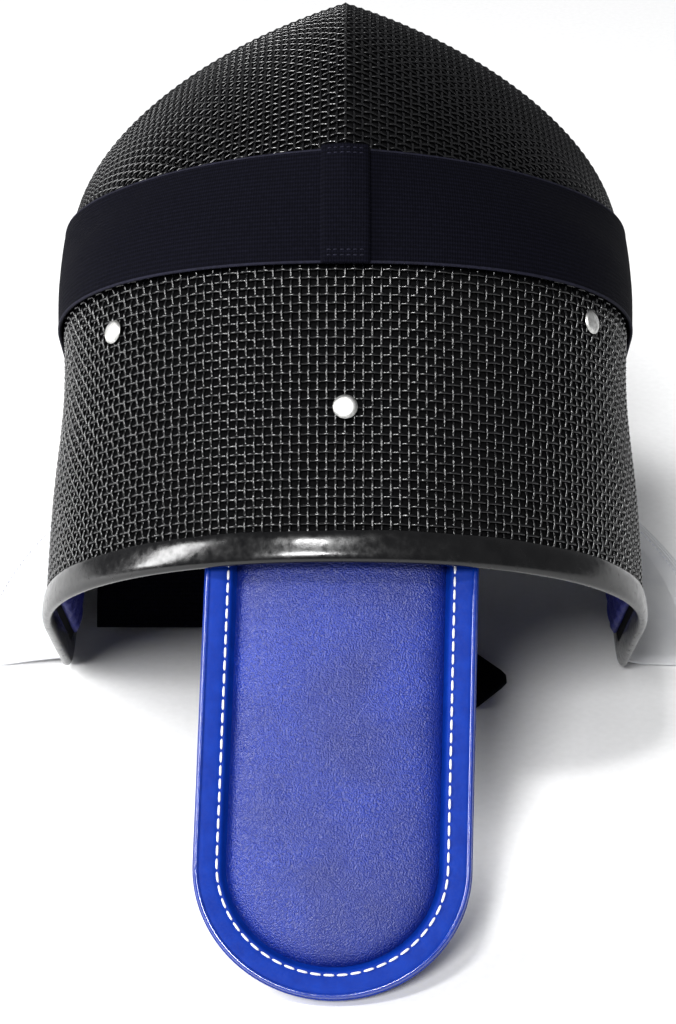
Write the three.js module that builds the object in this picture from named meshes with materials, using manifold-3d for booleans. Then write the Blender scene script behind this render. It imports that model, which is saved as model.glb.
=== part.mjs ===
// A three-weapon fencing mask on its open back: wire shell, vinyl edging, sprung tongue, elastic and bib.
// Millimetres. Mask frame: x across, y from the opening to the face, z from the jaw to the crown.
// The table frame has +Z up and -Y toward the tongue; LEAN_DEG turns the one into the other.
import * as THREE from "three";
import { mergeVertices } from "three/addons/utils/BufferGeometryUtils.js";
import Module from "manifold-3d";

const wasm = await Module();
wasm.setup();

// ---- Driving dimensions ----
const GAP = 0.3; // clearance between touching pieces
const LEAN_DEG = 51; // how far the mask's y axis rises from the table
const HALF_WIDTH = 107; // widest point of the shell from the centre
const NARROWING = 0.045; // how much the shell closes in for each unit of y
const SHOULDER = { rear: 118, face: 87, y: 110 }; // depth under the ridge at which the shell is widest
const ARCH_POWER = 2.2; // 2 is an ellipse, more is a squarer arch
const CREASE = 0.36; // share of straight slope in the pointed ridge of the face
const CREASE_START = 100; // y where the ridge begins to sharpen
const CREASE_FULL = 165; // y where the ridge is at its sharpest
const PINCH = { depth: 3.6, y: 80, reach: 32 }; // draws the sides in under the elastic
const WALL = 2; // thickness of the woven wire
const EDGE_SLOPE = 0.44; // fall of the jaw edge for each unit of y
const TRIM = { width: 11, thick: 4.4, round: 1.3, corner: 14 };
const SEAM = { crown: 124, jaw: 102 }; // where the two wire parts meet, at the ridge and at the jaw
const RIVET = { head: 4.1, rise: 1.4, shank: 1.9, hole: 2.3 };
const CROWN_ROWS = { along: 9, across: 20 }; // steps from rear to front, and of half a row
const FACE_ROWS = { along: 18, across: 18, chin: 130 }; // the same for the face; its last row ends at chin
const RIVET_TAIL = 1.5; // how far a side rivet's shank stands out inside the shell
const TONGUE = {
  width: 90,
  inside: 70,
  outside: 139,
  thick: 8,
  drop: 11.4,
  tilt: 0.5,
  yaw: -1.7,
  shift: 1,
  binding: 5,
  end: 0.94, // depth of the rounded end for half its width
  bevel: 1,
};
// The elastic: it leaves the ridge straight down, and ends at the anchor above the jaw.
const STRAP = {
  width: 43,
  thick: 1.2,
  clear: 0.6,
  centre: 122.5,
  leave: { y: 4, z: -75 },
  arrive: { y: 14, z: 60 },
  anchor: { y: 108, z: -18 },
  lines: 6,
  steps: 24,
};
const TAB = { width: 17, thick: 2, overhang: 0.6, steps: 5 };
// The bib leaves the jaw along the shell and comes down flat to a lip on the table.
const BIB = {
  thick: 3,
  half: 146,
  back: 232,
  lip: 14,
  clear: 4,
  rows: 9,
  bend: 0.3, // how far it keeps its direction at both ends, as a share of its depth
  least: 0.6,
  tuck: 4 * GAP,
};
const BINDING = { width: 5, round: 0.8 };
const LINING = { thick: 2.4, back: 58, top: 88, inset: 13, along: 6, down: 10 };
// The loose strap in the table frame: where its middle stands at the left, and where it lies at its end.
const FASTENER = {
  left: { x: -98, y: 32, z: 22.5, leanY: 0.5, leanZ: 0.86 },
  right: { x: 62, y: -17, z: 1.3 },
  width: 44,
  thick: 2,
  point: 14,
  tip: 0.12, // half width of the pointed end, as a share
  turn: { start: 0.28, length: 0.5 }, // where it turns over, as shares of its length
  steps: 22,
};

// Centre line of the shell from the rear edge of the crown over the face to the chin.
const RIDGE = [
  { y: 0, z: 190 },
  { y: 50, z: 190.5 },
  { y: 102, z: 189 },
  { y: 148, z: 181 },
  { y: 191, z: 157 },
  { y: 225.5, z: 115 },
  { y: 239.5, z: 67 },
  { y: 234, z: 22 },
  { y: 211, z: -19 },
  { y: 172, z: -48 },
  { y: 134, z: -59 },
];

const RIVETS = [
  { name: "rivet_center", side: 0, y: 51.8, z: 190 },
  { name: "rivet_left", side: -1, y: 86.5, z: 160.5 },
  { name: "rivet_right", side: 1, y: 92, z: 154.5 },
];

// ---- Materials ----
const FINISH = {
  wire: { color: 0x17171a, roughness: 0.35, metalness: 0.6 },
  vinyl: { color: 0x08080a, roughness: 0.18, metalness: 0 },
  rivet: { color: 0xe8e8ea, roughness: 0.3, metalness: 0.8 },
  blue: { color: 0x1f3fc0, roughness: 0.42, metalness: 0 },
  deepBlue: { color: 0x0f2aa8, roughness: 0.4, metalness: 0 },
  elastic: { color: 0x12121f, roughness: 0.85, metalness: 0 },
  bib: { color: 0xececee, roughness: 0.85, metalness: 0 },
  lining: { color: 0x14215a, roughness: 0.9, metalness: 0 },
};

// ---- The shell's shape ----
const SAMPLES = 260;
const ridgeKnots = RIDGE.map((p) => new THREE.Vector3(0, p.y, p.z));
const ridgeCurve = new THREE.CatmullRomCurve3(ridgeKnots, false, "centripetal");
const ridgePoints = ridgeCurve.getSpacedPoints(SAMPLES);
const ridgeLength = ridgeCurve.getLength();

const clamp01 = (v) => Math.min(1, Math.max(0, v));
const smooth = (v) => clamp01(v) ** 2 * (3 - 2 * clamp01(v));
const lerp = (a, b, t) => a + (b - a) * t;

// The point of the ridge at a given distance along it, kept on the curve.
function ridgeAt(distance) {
  const t = clamp01(distance / ridgeLength) * SAMPLES;
  const i = Math.min(SAMPLES - 1, Math.floor(t));
  return ridgePoints[i].clone().lerp(ridgePoints[i + 1], t - i);
}

// Distance along the ridge at which it first reaches y, on the crown side.
function ridgeDistanceAtY(y) {
  const i = ridgePoints.findIndex((p) => p.y >= y);
  const a = ridgePoints[Math.max(0, i - 1)];
  const b = ridgePoints[Math.max(1, i)];
  return (Math.max(0, i - 1) + clamp01((y - a.y) / (b.y - a.y))) * (ridgeLength / SAMPLES);
}

// How deep a point of the side view lies under the ridge, and how sharp the ridge is there.
function depthAt(y, z) {
  let best = Infinity;
  let nearY = 0;
  for (let i = 0; i < SAMPLES; i++) {
    const a = ridgePoints[i];
    const b = ridgePoints[i + 1];
    const dy = b.y - a.y;
    const dz = b.z - a.z;
    const t = clamp01(((y - a.y) * dy + (z - a.z) * dz) / (dy * dy + dz * dz));
    const away = (y - a.y - t * dy) ** 2 + (z - a.z - t * dz) ** 2;
    if (away < best) {
      best = away;
      nearY = i > SAMPLES / 2 ? CREASE_FULL : a.y + t * dy;
    }
  }
  const crease = CREASE * smooth((nearY - CREASE_START) / (CREASE_FULL - CREASE_START));
  return { depth: Math.sqrt(best), crease, nearY };
}

// Half width of the shell's middle surface at a point of the side view.
function halfWidth(y, z) {
  const { depth, crease, nearY } = depthAt(y, z);
  const goal = Math.min(1, depth / lerp(SHOULDER.rear, SHOULDER.face, smooth(nearY / SHOULDER.y)));
  let low = 0;
  let high = 1;
  for (let i = 0; i < 34; i++) {
    const s = (low + high) / 2;
    const arch = 1 - (1 - s ** ARCH_POWER) ** (1 / ARCH_POWER);
    if ((1 - crease) * arch + crease * s < goal) low = s;
    else high = s;
  }
  const pinch = PINCH.depth * Math.exp(-(((y - PINCH.y) / PINCH.reach) ** 2));
  return (HALF_WIDTH - NARROWING * Math.max(0, y) - pinch) * low;
}

// Height of the jaw edge, raised along the shell by `inset`.
const jawEdge = (y, inset) => -EDGE_SLOPE * y + inset * Math.hypot(1, EDGE_SLOPE);

// Points at equal steps along half a row of the shell: straight in the side view, from the ridge.
function halfRow(start, end, count) {
  const fine = 240;
  const points = [];
  for (let i = 0; i <= fine; i++) {
    const t = (i / fine) ** 2;
    const y = lerp(start.y, end.y, t);
    const z = lerp(start.z, end.z, t);
    points.push(new THREE.Vector3(i ? halfWidth(y, z) : 0, y, z));
  }
  return evenSteps(points, count);
}

// Resamples a chain of points into equal steps.
function evenSteps(points, count) {
  const reach = [0];
  for (let i = 1; i < points.length; i++) reach.push(reach[i - 1] + points[i].distanceTo(points[i - 1]));
  const total = reach[reach.length - 1];
  const out = [];
  let k = 0;
  for (let i = 0; i <= count; i++) {
    const goal = (total * i) / count;
    while (k < points.length - 2 && reach[k + 1] < goal) k++;
    const t = clamp01((goal - reach[k]) / (reach[k + 1] - reach[k] || 1));
    out.push(points[k].clone().lerp(points[k + 1], t));
  }
  return out;
}

// Both halves of a row, from the left end over the ridge to the right end.
function fullRow(half) {
  const left = half.slice(1).reverse();
  return [...left.map((p) => new THREE.Vector3(-p.x, p.y, p.z)), ...half];
}

// ---- Solids from grids ----
// A closed wall made from a grid of points: `low` and `high` are its faces' distances along the normal.
function wall(grid, low, high) {
  const rows = grid.length;
  const columns = grid[0].length;
  const normals = grid.map((row, i) =>
    row.map((_, j) => {
      const along = grid[i][Math.min(columns - 1, j + 1)].clone().sub(grid[i][Math.max(0, j - 1)]);
      const over = grid[Math.min(rows - 1, i + 1)][j].clone().sub(grid[Math.max(0, i - 1)][j]);
      return along.cross(over).normalize();
    }),
  );
  const positions = [];
  for (const level of [high, low]) {
    grid.flat().forEach((p, k) => {
      const normal = normals[Math.floor(k / columns)][k % columns];
      positions.push(...p.clone().addScaledVector(normal, level));
    });
  }
  const top = (i, j) => i * columns + j;
  const under = (i, j) => rows * columns + i * columns + j;
  const index = [];
  const quad = (a, b, c, d) => index.push(a, b, c, a, c, d);
  for (let i = 0; i < rows - 1; i++) {
    for (let j = 0; j < columns - 1; j++) {
      quad(top(i, j), top(i + 1, j), top(i + 1, j + 1), top(i, j + 1));
      quad(under(i, j), under(i, j + 1), under(i + 1, j + 1), under(i + 1, j));
    }
  }
  for (let j = 0; j < columns - 1; j++) {
    quad(top(0, j), top(0, j + 1), under(0, j + 1), under(0, j));
    quad(top(rows - 1, j + 1), top(rows - 1, j), under(rows - 1, j), under(rows - 1, j + 1));
  }
  for (let i = 0; i < rows - 1; i++) {
    quad(top(i + 1, 0), top(i, 0), under(i, 0), under(i + 1, 0));
    quad(top(i, columns - 1), top(i + 1, columns - 1), under(i + 1, columns - 1), under(i, columns - 1));
  }
  return meshGeometry(positions, index);
}

// A closed ring or bar from a list of cross-sections with the same number of points each.
function loft(sections, closed) {
  const count = sections[0].length;
  const positions = sections.flat().flatMap((p) => [p.x, p.y, p.z]);
  const index = [];
  const last = closed ? sections.length : sections.length - 1;
  for (let i = 0; i < last; i++) {
    const next = (i + 1) % sections.length;
    for (let j = 0; j < count; j++) {
      const k = (j + 1) % count;
      index.push(i * count + j, i * count + k, next * count + k);
      index.push(i * count + j, next * count + k, next * count + j);
    }
  }
  if (!closed) {
    const end = (sections.length - 1) * count;
    for (let j = 1; j < count - 1; j++) {
      index.push(0, j + 1, j);
      index.push(end, end + j, end + j + 1);
    }
  }
  return meshGeometry(positions, index);
}

// A geometry from plain arrays, turned so that its faces point out.
function meshGeometry(positions, index) {
  const geometry = new THREE.BufferGeometry();
  geometry.setAttribute("position", new THREE.Float32BufferAttribute(positions, 3));
  geometry.setIndex(index);
  if (signedVolume(geometry) < 0) geometry.index.array.reverse();
  geometry.computeVertexNormals();
  return geometry;
}

function signedVolume(geometry) {
  const p = geometry.getAttribute("position");
  const at = (i) => new THREE.Vector3().fromBufferAttribute(p, i);
  let volume = 0;
  for (let i = 0; i < geometry.index.count; i += 3) {
    const [a, b, c] = [0, 1, 2].map((k) => at(geometry.index.getX(i + k)));
    volume += a.dot(b.cross(c)) / 6;
  }
  return volume;
}

// ---- Cuts ----
function toSolid(geometry) {
  const bare = geometry.clone();
  bare.deleteAttribute("normal");
  bare.deleteAttribute("uv");
  const merged = mergeVertices(bare, 1e-4);
  const vertProperties = new Float32Array(merged.getAttribute("position").array);
  const triVerts = new Uint32Array(merged.index.array);
  return new wasm.Manifold(new wasm.Mesh({ numProp: 3, vertProperties, triVerts }));
}

function fromSolid(solid) {
  const mesh = solid.getMesh();
  return meshGeometry(Array.from(mesh.vertProperties), Array.from(mesh.triVerts));
}

const subtract = (geometry, cutters) =>
  fromSolid(cutters.reduce((left, cutter) => left.subtract(toSolid(cutter)), toSolid(geometry)));

// ---- Pieces ----
const piece = (name, geometry, finish) => {
  const mesh = new THREE.Mesh(geometry, new THREE.MeshStandardMaterial(FINISH[finish]));
  mesh.name = name;
  return mesh;
};

// The foot of a row whose lower end is at `y` on the jaw edge.
const footAt = (y, inset) => ({ y, z: jawEdge(y, inset) });

const INNER = TRIM.width + 3 * GAP; // the wire starts here, measured in from the shell's edge

function crownMesh(cutters) {
  const rows = [];
  for (let i = 0; i <= CROWN_ROWS.along; i++) {
    const t = i / CROWN_ROWS.along;
    const top = ridgeAt(ridgeDistanceAtY(lerp(INNER, SEAM.crown - 3 * GAP, t)));
    const foot = footAt(lerp(INNER, SEAM.jaw - 3 * GAP, t), INNER);
    rows.push(fullRow(halfRow(top, foot, CROWN_ROWS.across)));
  }
  return piece("crown_mesh", subtract(wall(rows, -WALL / 2, WALL / 2), cutters), "wire");
}

function faceMesh() {
  const rows = [];
  const first = ridgeDistanceAtY(SEAM.crown);
  const last = ridgeLength - INNER;
  for (let i = 0; i <= FACE_ROWS.along; i++) {
    const t = i / FACE_ROWS.along;
    const foot = footAt(lerp(SEAM.jaw, FACE_ROWS.chin, t), INNER);
    rows.push(fullRow(halfRow(ridgeAt(lerp(first, last, t)), foot, FACE_ROWS.across)));
  }
  return piece("face_mesh", wall(rows, -WALL / 2, WALL / 2), "wire");
}

// The edging's path: the shell's edge and the line one trim width inside it, station by station.
function edgeStations() {
  const centre = { y: TRIM.corner, z: TRIM.corner * (Math.hypot(1, EDGE_SLOPE) - EDGE_SLOPE) };
  const outer = halfRow({ y: 0, z: RIDGE[0].z }, { y: 0, z: centre.z }, 20);
  const inner = outer.map((p) => new THREE.Vector3(p.x, TRIM.width, p.z));
  inner[0].set(0, TRIM.width, ridgeAt(TRIM.width).z);
  const stations = outer.map((p, i) => [p, inner[i]]);
  const turn = Math.PI / 2 - Math.atan(EDGE_SLOPE);
  for (let i = 1; i < 6; i++) {
    const a = Math.PI + (turn * i) / 6;
    const at = (r) => ({ y: centre.y + r * Math.cos(a), z: centre.z + r * Math.sin(a) });
    const [out, into] = [at(TRIM.corner), at(TRIM.corner - TRIM.width)];
    stations.push([out, into].map((p) => new THREE.Vector3(halfWidth(p.y, p.z), p.y, p.z)));
  }
  const chin = RIDGE[RIDGE.length - 1];
  const chinIn = ridgeAt(ridgeLength - TRIM.width);
  const lean = Math.sin(Math.atan(EDGE_SLOPE));
  const low = halfRow(chin, footAt(centre.y - TRIM.corner * lean, 0), 16).reverse();
  const from = centre.y - (TRIM.corner - TRIM.width) * lean;
  const high = halfRow(chinIn, footAt(from, TRIM.width), 16).reverse();
  low.forEach((p, i) => stations.push([p, high[i]]));
  return stations;
}

// A rounded flat section between two points of the shell: across runs from the edge inward.
function flatSection(edge, inside, normal, thick, round) {
  const across = inside.clone().sub(edge);
  const width = across.length();
  across.normalize();
  const h = thick / 2;
  const corners = [
    [0, -h + round],
    [0, h - round],
    [round, h],
    [width - round, h],
    [width, h - round],
    [width, -h + round],
    [width - round, -h],
    [round, -h],
  ];
  return corners.map(([w, n]) => edge.clone().addScaledVector(across, w).addScaledVector(normal, n));
}

function mirrorLoop(stations) {
  const back = stations.slice(1, -1).reverse();
  const flip = (p) => new THREE.Vector3(-p.x, p.y, p.z);
  return [...stations, ...back.map((pair) => pair.map(flip))];
}

function edgeTrim() {
  const loop = mirrorLoop(edgeStations());
  const sections = loop.map(([edge, inside], i) => {
    const before = loop[(i + loop.length - 1) % loop.length][0];
    const after = loop[(i + 1) % loop.length][0];
    const along = after.clone().sub(before);
    const normal = along.cross(inside.clone().sub(edge)).normalize();
    return flatSection(edge, inside, normal, TRIM.thick, TRIM.round);
  });
  return piece("edge_trim", loft(sections, true), "vinyl");
}

// Outward normal of the shell at a point of the side view, on one side.
function shellNormal(side, y, z) {
  if (side === 0) return new THREE.Vector3(0, 0, 1);
  const step = 1;
  const dy = (halfWidth(y + step, z) - halfWidth(y - step, z)) / (2 * step);
  const dz = (halfWidth(y, z + step) - halfWidth(y, z - step)) / (2 * step);
  return new THREE.Vector3(side, -dy, -dz).normalize();
}

function rivetSeat(spec) {
  const x = spec.side * halfWidth(spec.y, spec.z);
  const z = spec.side ? spec.z : ridgeAt(ridgeDistanceAtY(spec.y)).z;
  return { point: new THREE.Vector3(x, spec.y, z), normal: shellNormal(spec.side, spec.y, spec.z) };
}

// A pan head on a plain shank, turned about its axis.
function rivet(spec) {
  const seat = WALL / 2 + GAP;
  const tail = spec.side ? WALL + RIVET_TAIL : TONGUE.drop - GAP;
  const outline = [
    [0, -tail],
    [RIVET.shank, -tail],
    [RIVET.shank, seat],
    [RIVET.head, seat],
    [RIVET.head, seat + RIVET.rise * 0.45],
    [RIVET.head * 0.86, seat + RIVET.rise * 0.82],
    [RIVET.head * 0.5, seat + RIVET.rise],
    [0, seat + RIVET.rise],
  ];
  const geometry = new THREE.LatheGeometry(outline.map(([r, y]) => new THREE.Vector2(r, y)), 16);
  const mesh = piece(spec.name, geometry, "rivet");
  const { point, normal } = rivetSeat(spec);
  mesh.position.copy(point);
  mesh.quaternion.setFromUnitVectors(new THREE.Vector3(0, 1, 0), normal);
  return mesh;
}

function rivetHole(spec) {
  const { point, normal } = rivetSeat(spec);
  const turn = new THREE.Quaternion().setFromUnitVectors(new THREE.Vector3(0, 1, 0), normal);
  const hole = new THREE.CylinderGeometry(RIVET.hole, RIVET.hole, 6 * WALL, 20);
  return hole.applyQuaternion(turn).translate(...point);
}

// ---- The tongue ----
// Outline with one square end at startX and one round end.
function tongueOutline(half, length, startX) {
  const shape = new THREE.Shape();
  const round = half * TONGUE.end;
  shape.moveTo(startX, -half);
  shape.lineTo(length - round, -half);
  shape.absellipse(length - round, 0, round, half, -Math.PI / 2, Math.PI / 2, false, 0);
  shape.lineTo(startX, half);
  shape.closePath();
  return shape;
}

function tonguePlate(name, shape, thick, finish) {
  const size = TONGUE.bevel;
  const bevel = { bevelThickness: size, bevelSize: size, bevelOffset: -size, bevelSegments: 2 };
  const settings = { depth: thick - 2 * size, curveSegments: 14, ...bevel };
  const geometry = new THREE.ExtrudeGeometry(shape, settings);
  return piece(name, geometry.translate(0, 0, size - thick), finish);
}

function tongue() {
  const group = new THREE.Group();
  const length = TONGUE.inside + TONGUE.outside;
  const half = TONGUE.width / 2;
  const rim = tongueOutline(half, length, 0);
  rim.holes.push(tongueOutline(half - TONGUE.binding, length - TONGUE.binding, TONGUE.binding));
  const inner = half - TONGUE.binding - GAP;
  const start = TONGUE.binding + GAP;
  const core = tongueOutline(inner, length - start, start);
  group.add(tonguePlate("tongue_binding", rim, TONGUE.thick, "deepBlue"));
  group.add(tonguePlate("tongue_pad", core, TONGUE.thick, "blue"));
  const turn = THREE.MathUtils.degToRad(TONGUE.yaw) - Math.PI / 2;
  group.rotation.set(0, THREE.MathUtils.degToRad(TONGUE.tilt), turn, "ZYX");
  group.position.set(TONGUE.shift, TONGUE.inside, RIDGE[0].z - TONGUE.drop);
  return group;
}

// ---- The elastic over the crown ----
// The strap's middle line in the side view, from the ridge down to its sewn end.
function strapMiddle() {
  const top = ridgeAt(ridgeDistanceAtY(STRAP.centre));
  const { leave, arrive, anchor } = STRAP;
  return new THREE.CubicBezierCurve(
    new THREE.Vector2(top.y, top.z),
    new THREE.Vector2(top.y + leave.y, top.z + leave.z),
    new THREE.Vector2(anchor.y + arrive.y, anchor.z + arrive.z),
    new THREE.Vector2(anchor.y, anchor.z),
  );
}

// Half of one lengthwise line of the strap, `offset` toward the face; its start lies on the ridge.
function strapLine(offset, count) {
  const curve = strapMiddle();
  const across = (t) => {
    const way = curve.getTangent(t);
    return curve.getPoint(t).add(new THREE.Vector2(-way.y, way.x).multiplyScalar(offset));
  };
  const top = ridgeAt(ridgeDistanceAtY(STRAP.centre) + offset);
  const miss = new THREE.Vector2(top.y, top.z).sub(across(0));
  const fine = 200;
  const points = [];
  for (let i = 0; i <= fine; i++) {
    const t = (i / fine) ** 2;
    const p = across(t).addScaledVector(miss, (1 - t) ** 3);
    points.push(new THREE.Vector3(i ? halfWidth(p.x, p.y) : 0, p.x, p.y));
  }
  return evenSteps(points, count);
}

function elasticStrap() {
  const rows = [];
  for (let i = 0; i <= STRAP.lines; i++) {
    const offset = lerp(-STRAP.width / 2, STRAP.width / 2, i / STRAP.lines);
    rows.push(fullRow(strapLine(offset, STRAP.steps)));
  }
  const low = WALL / 2 + STRAP.clear;
  return piece("elastic_strap", wall(rows, low, low + STRAP.thick), "elastic");
}

function strapTab() {
  const rows = [];
  const half = STRAP.width / 2 + TAB.overhang;
  for (let i = 0; i <= STRAP.lines; i++) {
    const line = strapLine(lerp(-half, half, i / STRAP.lines), 200);
    const near = line.filter((p) => p.x <= TAB.width / 2 + 1);
    rows.push(fullRow(evenSteps(near, TAB.steps)));
  }
  const low = WALL / 2 + STRAP.clear + STRAP.thick + GAP;
  return piece("strap_tab", wall(rows, low, low + TAB.thick), "elastic");
}

// ---- The lining inside the jaws ----
function cheekLining(name, side) {
  const rows = [];
  for (let i = 0; i <= LINING.along; i++) {
    const y = lerp(INNER + 1, LINING.back, i / LINING.along);
    const low = jawEdge(y, LINING.inset);
    const row = [];
    for (let j = 0; j <= LINING.down; j++) {
      const z = lerp(low, LINING.top, j / LINING.down);
      row.push(new THREE.Vector3(side * halfWidth(y, z), y, z));
    }
    rows.push(row);
  }
  const high = WALL / 2 + GAP;
  const levels = side > 0 ? [high, high + LINING.thick] : [-high - LINING.thick, -high];
  return piece(name, wall(rows, ...levels), "lining");
}

// ---- The mask, in its own frame ----
function maskGroup() {
  const group = new THREE.Group();
  group.add(crownMesh(RIVETS.map(rivetHole)), faceMesh(), edgeTrim(), ...RIVETS.map(rivet), tongue());
  group.add(elasticStrap(), strapTab());
  group.add(cheekLining("cheek_lining_left", -1), cheekLining("cheek_lining_right", 1));
  group.rotation.x = THREE.MathUtils.degToRad(LEAN_DEG);
  return group;
}

// ---- The bib, spread on the table ----
// One row for each station of the jaw edge, from where it meets the shell down to its hem.
function bibColumns(mask) {
  const all = mirrorLoop(edgeStations());
  const jaw = all.filter(([edge, inside]) => inside.z - edge.z > Math.abs(inside.y - edge.y));
  const bearing = ([edge]) => Math.atan2(edge.x, edge.y);
  const ordered = jaw.sort((a, b) => bearing(a) - bearing(b));
  return ordered.map(([edge, inside]) => {
    const down = edge.clone().sub(inside).normalize();
    const top = mask.localToWorld(edge.clone().addScaledVector(down, BIB.tuck));
    return { top, down: down.transformDirection(mask.matrixWorld) };
  });
}

function bibGrid(mask) {
  const stations = bibColumns(mask);
  const frontY = stations[0].top.y;
  const last = stations.length - 1;
  return stations.map(({ top, down }, i) => {
    const turn = Math.PI * (i / last);
    const [x, y] = [-BIB.half * Math.cos(turn), frontY + BIB.back * Math.sin(turn)];
    const hem = new THREE.Vector3(x, y, BIB.thick / 2);
    const inward = new THREE.Vector3(top.x - hem.x, top.y - hem.y, 0).normalize();
    const lip = hem.clone().addScaledVector(inward, BIB.lip);
    const reach = top.distanceTo(lip);
    const leave = top.clone().addScaledVector(down, BIB.bend * reach);
    leave.z = Math.max(leave.z, lerp(top.z, BIB.thick / 2, BIB.least));
    const arrive = lip.clone().addScaledVector(inward, BIB.bend * reach);
    const curve = new THREE.CubicBezierCurve3(top, leave, arrive, lip);
    return [...curve.getPoints(BIB.rows), hem.clone().lerp(lip, 0.5), hem];
  });
}

// A flat bound edge that runs just outside the hem on the table.
function bibBinding(grid) {
  const hem = grid.map((column) => column[column.length - 1]);
  const sections = hem.map((p, i) => {
    const along = hem[Math.min(hem.length - 1, i + 1)].clone().sub(hem[Math.max(0, i - 1)]);
    const out = new THREE.Vector3(-along.y, along.x, 0).normalize();
    const inner = p.clone().addScaledVector(out, 2 * GAP);
    const outer = inner.clone().addScaledVector(out, BINDING.width);
    return flatSection(outer, inner, new THREE.Vector3(0, 0, 1), BIB.thick, BINDING.round);
  });
  return piece("bib_binding", loft(sections, false), "bib");
}

// A flat strap that stands in the left jaw, turns over behind the tongue and ends in a point.
function fasteningStrap() {
  const { left, right, width, thick, point, tip, steps } = FASTENER;
  const columns = [];
  for (let i = 0; i <= steps; i++) {
    const t = i / steps;
    const turn = smooth((t - FASTENER.turn.start) / FASTENER.turn.length);
    const x = lerp(left.x, right.x, t);
    const centre = new THREE.Vector3(x, lerp(left.y, right.y, turn), lerp(left.z, right.z, turn));
    const across = new THREE.Vector3(0, lerp(left.leanY, 1, turn), lerp(left.leanZ, 0, turn)).normalize();
    const half = (width / 2) * Math.min(1, tip + (right.x - x) / point);
    columns.push([-1, -0.5, 0, 0.5, 1].map((w) => centre.clone().addScaledVector(across, w * half)));
  }
  return piece("fastening_strap", wall(columns, -thick / 2, thick / 2), "elastic");
}

// The mask stands on the table with its edging just clear of it.
function standOnTable(mask) {
  mask.updateMatrixWorld(true);
  const box = new THREE.Box3().setFromObject(mask.getObjectByName("edge_trim"), true);
  mask.position.z = BIB.clear - box.min.z;
  mask.updateMatrixWorld(true);
}

const whole = new THREE.Group();
const mask = maskGroup();
standOnTable(mask);
const cloth = bibGrid(mask);
const bib = piece("bib", wall(cloth, -BIB.thick / 2, BIB.thick / 2), "bib");
whole.add(mask, bib, bibBinding(cloth), fasteningStrap());

// The origin is at the middle of the object's box, on the table.
whole.updateMatrixWorld(true);
const box = new THREE.Box3().setFromObject(whole, true);
const middle = box.getCenter(new THREE.Vector3());
whole.position.set(-middle.x, -middle.y, -box.min.z);

export default whole;
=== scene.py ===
"""The looks of a three-weapon fencing mask that lies on its open back.

The mask's own frame has x across, y from the opening to the face and z from the jaw to the crown, in
millimetres. The row frame, in metres, has +Z up and -Y toward the tongue. Shell.place turns one into the
other.
"""

import logging
import math
from collections.abc import Callable
from dataclasses import dataclass
from enum import Enum

import bpy
import numpy as np
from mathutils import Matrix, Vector


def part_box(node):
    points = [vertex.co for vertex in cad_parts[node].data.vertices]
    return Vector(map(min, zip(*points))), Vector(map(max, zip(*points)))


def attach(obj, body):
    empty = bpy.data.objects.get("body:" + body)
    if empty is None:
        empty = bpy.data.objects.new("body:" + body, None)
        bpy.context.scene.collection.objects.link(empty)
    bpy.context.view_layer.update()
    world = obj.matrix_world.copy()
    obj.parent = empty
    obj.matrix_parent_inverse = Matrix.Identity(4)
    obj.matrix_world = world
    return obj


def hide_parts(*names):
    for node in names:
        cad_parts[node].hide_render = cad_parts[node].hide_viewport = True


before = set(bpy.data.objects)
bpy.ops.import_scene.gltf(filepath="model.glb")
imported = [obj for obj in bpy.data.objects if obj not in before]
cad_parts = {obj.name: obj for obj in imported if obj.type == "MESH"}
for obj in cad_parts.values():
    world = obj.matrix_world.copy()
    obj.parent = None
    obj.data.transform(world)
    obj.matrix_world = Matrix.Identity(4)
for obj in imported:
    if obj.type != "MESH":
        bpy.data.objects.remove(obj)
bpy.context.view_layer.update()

Array = np.ndarray
Tree = bpy.types.NodeTree
Node = bpy.types.Node
Socket = bpy.types.NodeSocket

MM = 0.001
BODY = "root"
LAY = "lay"  # the attribute that holds a cloth's own coordinates, along and across, in mm
MIRROR = np.array([-1, 1, 1])  # turns the right half of the mask into the left one

log = logging.getLogger("fencing_mask")


class Side(Enum):
    """The halves of the mask, by the sign of x."""

    LEFT = -1
    RIGHT = 1


class Thread(Enum):
    """The two sets of wires in the wire cloth, by which of them is on top where the sum of indices is even."""

    WEFT = 1
    WARP = -1


# ---- Colours, nodes and finishes ----
def linear(code: str) -> tuple[float, float, float, float]:
    """Turns an sRGB hex colour to linear.

    Args:
        code: the colour as "#rrggbb".
    Returns:
        Red, green, blue and alpha, linear.
    """
    parts = [int(code[i : i + 2], 16) / 255 for i in (1, 3, 5)]
    return (*[c / 12.92 if c <= 0.04045 else ((c + 0.055) / 1.055) ** 2.4 for c in parts], 1.0)


def add_node(tree: Tree, kind: str, inputs: dict | None = None, **settings: object) -> Node:
    """Adds a node with its settings and links.

    Args:
        tree: the node tree that the node goes in.
        kind: the node's type.
        inputs: for each socket's name or number, the value it is set to or the output that it is linked from.
        settings: the node's own properties.
    Returns:
        The node.
    """
    node = tree.nodes.new(kind)
    for key, value in settings.items():
        setattr(node, key, value)
    for key, value in (inputs or {}).items():
        if isinstance(value, Socket):
            tree.links.new(value, node.inputs[key])
        else:
            node.inputs[key].default_value = value
    return node


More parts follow.
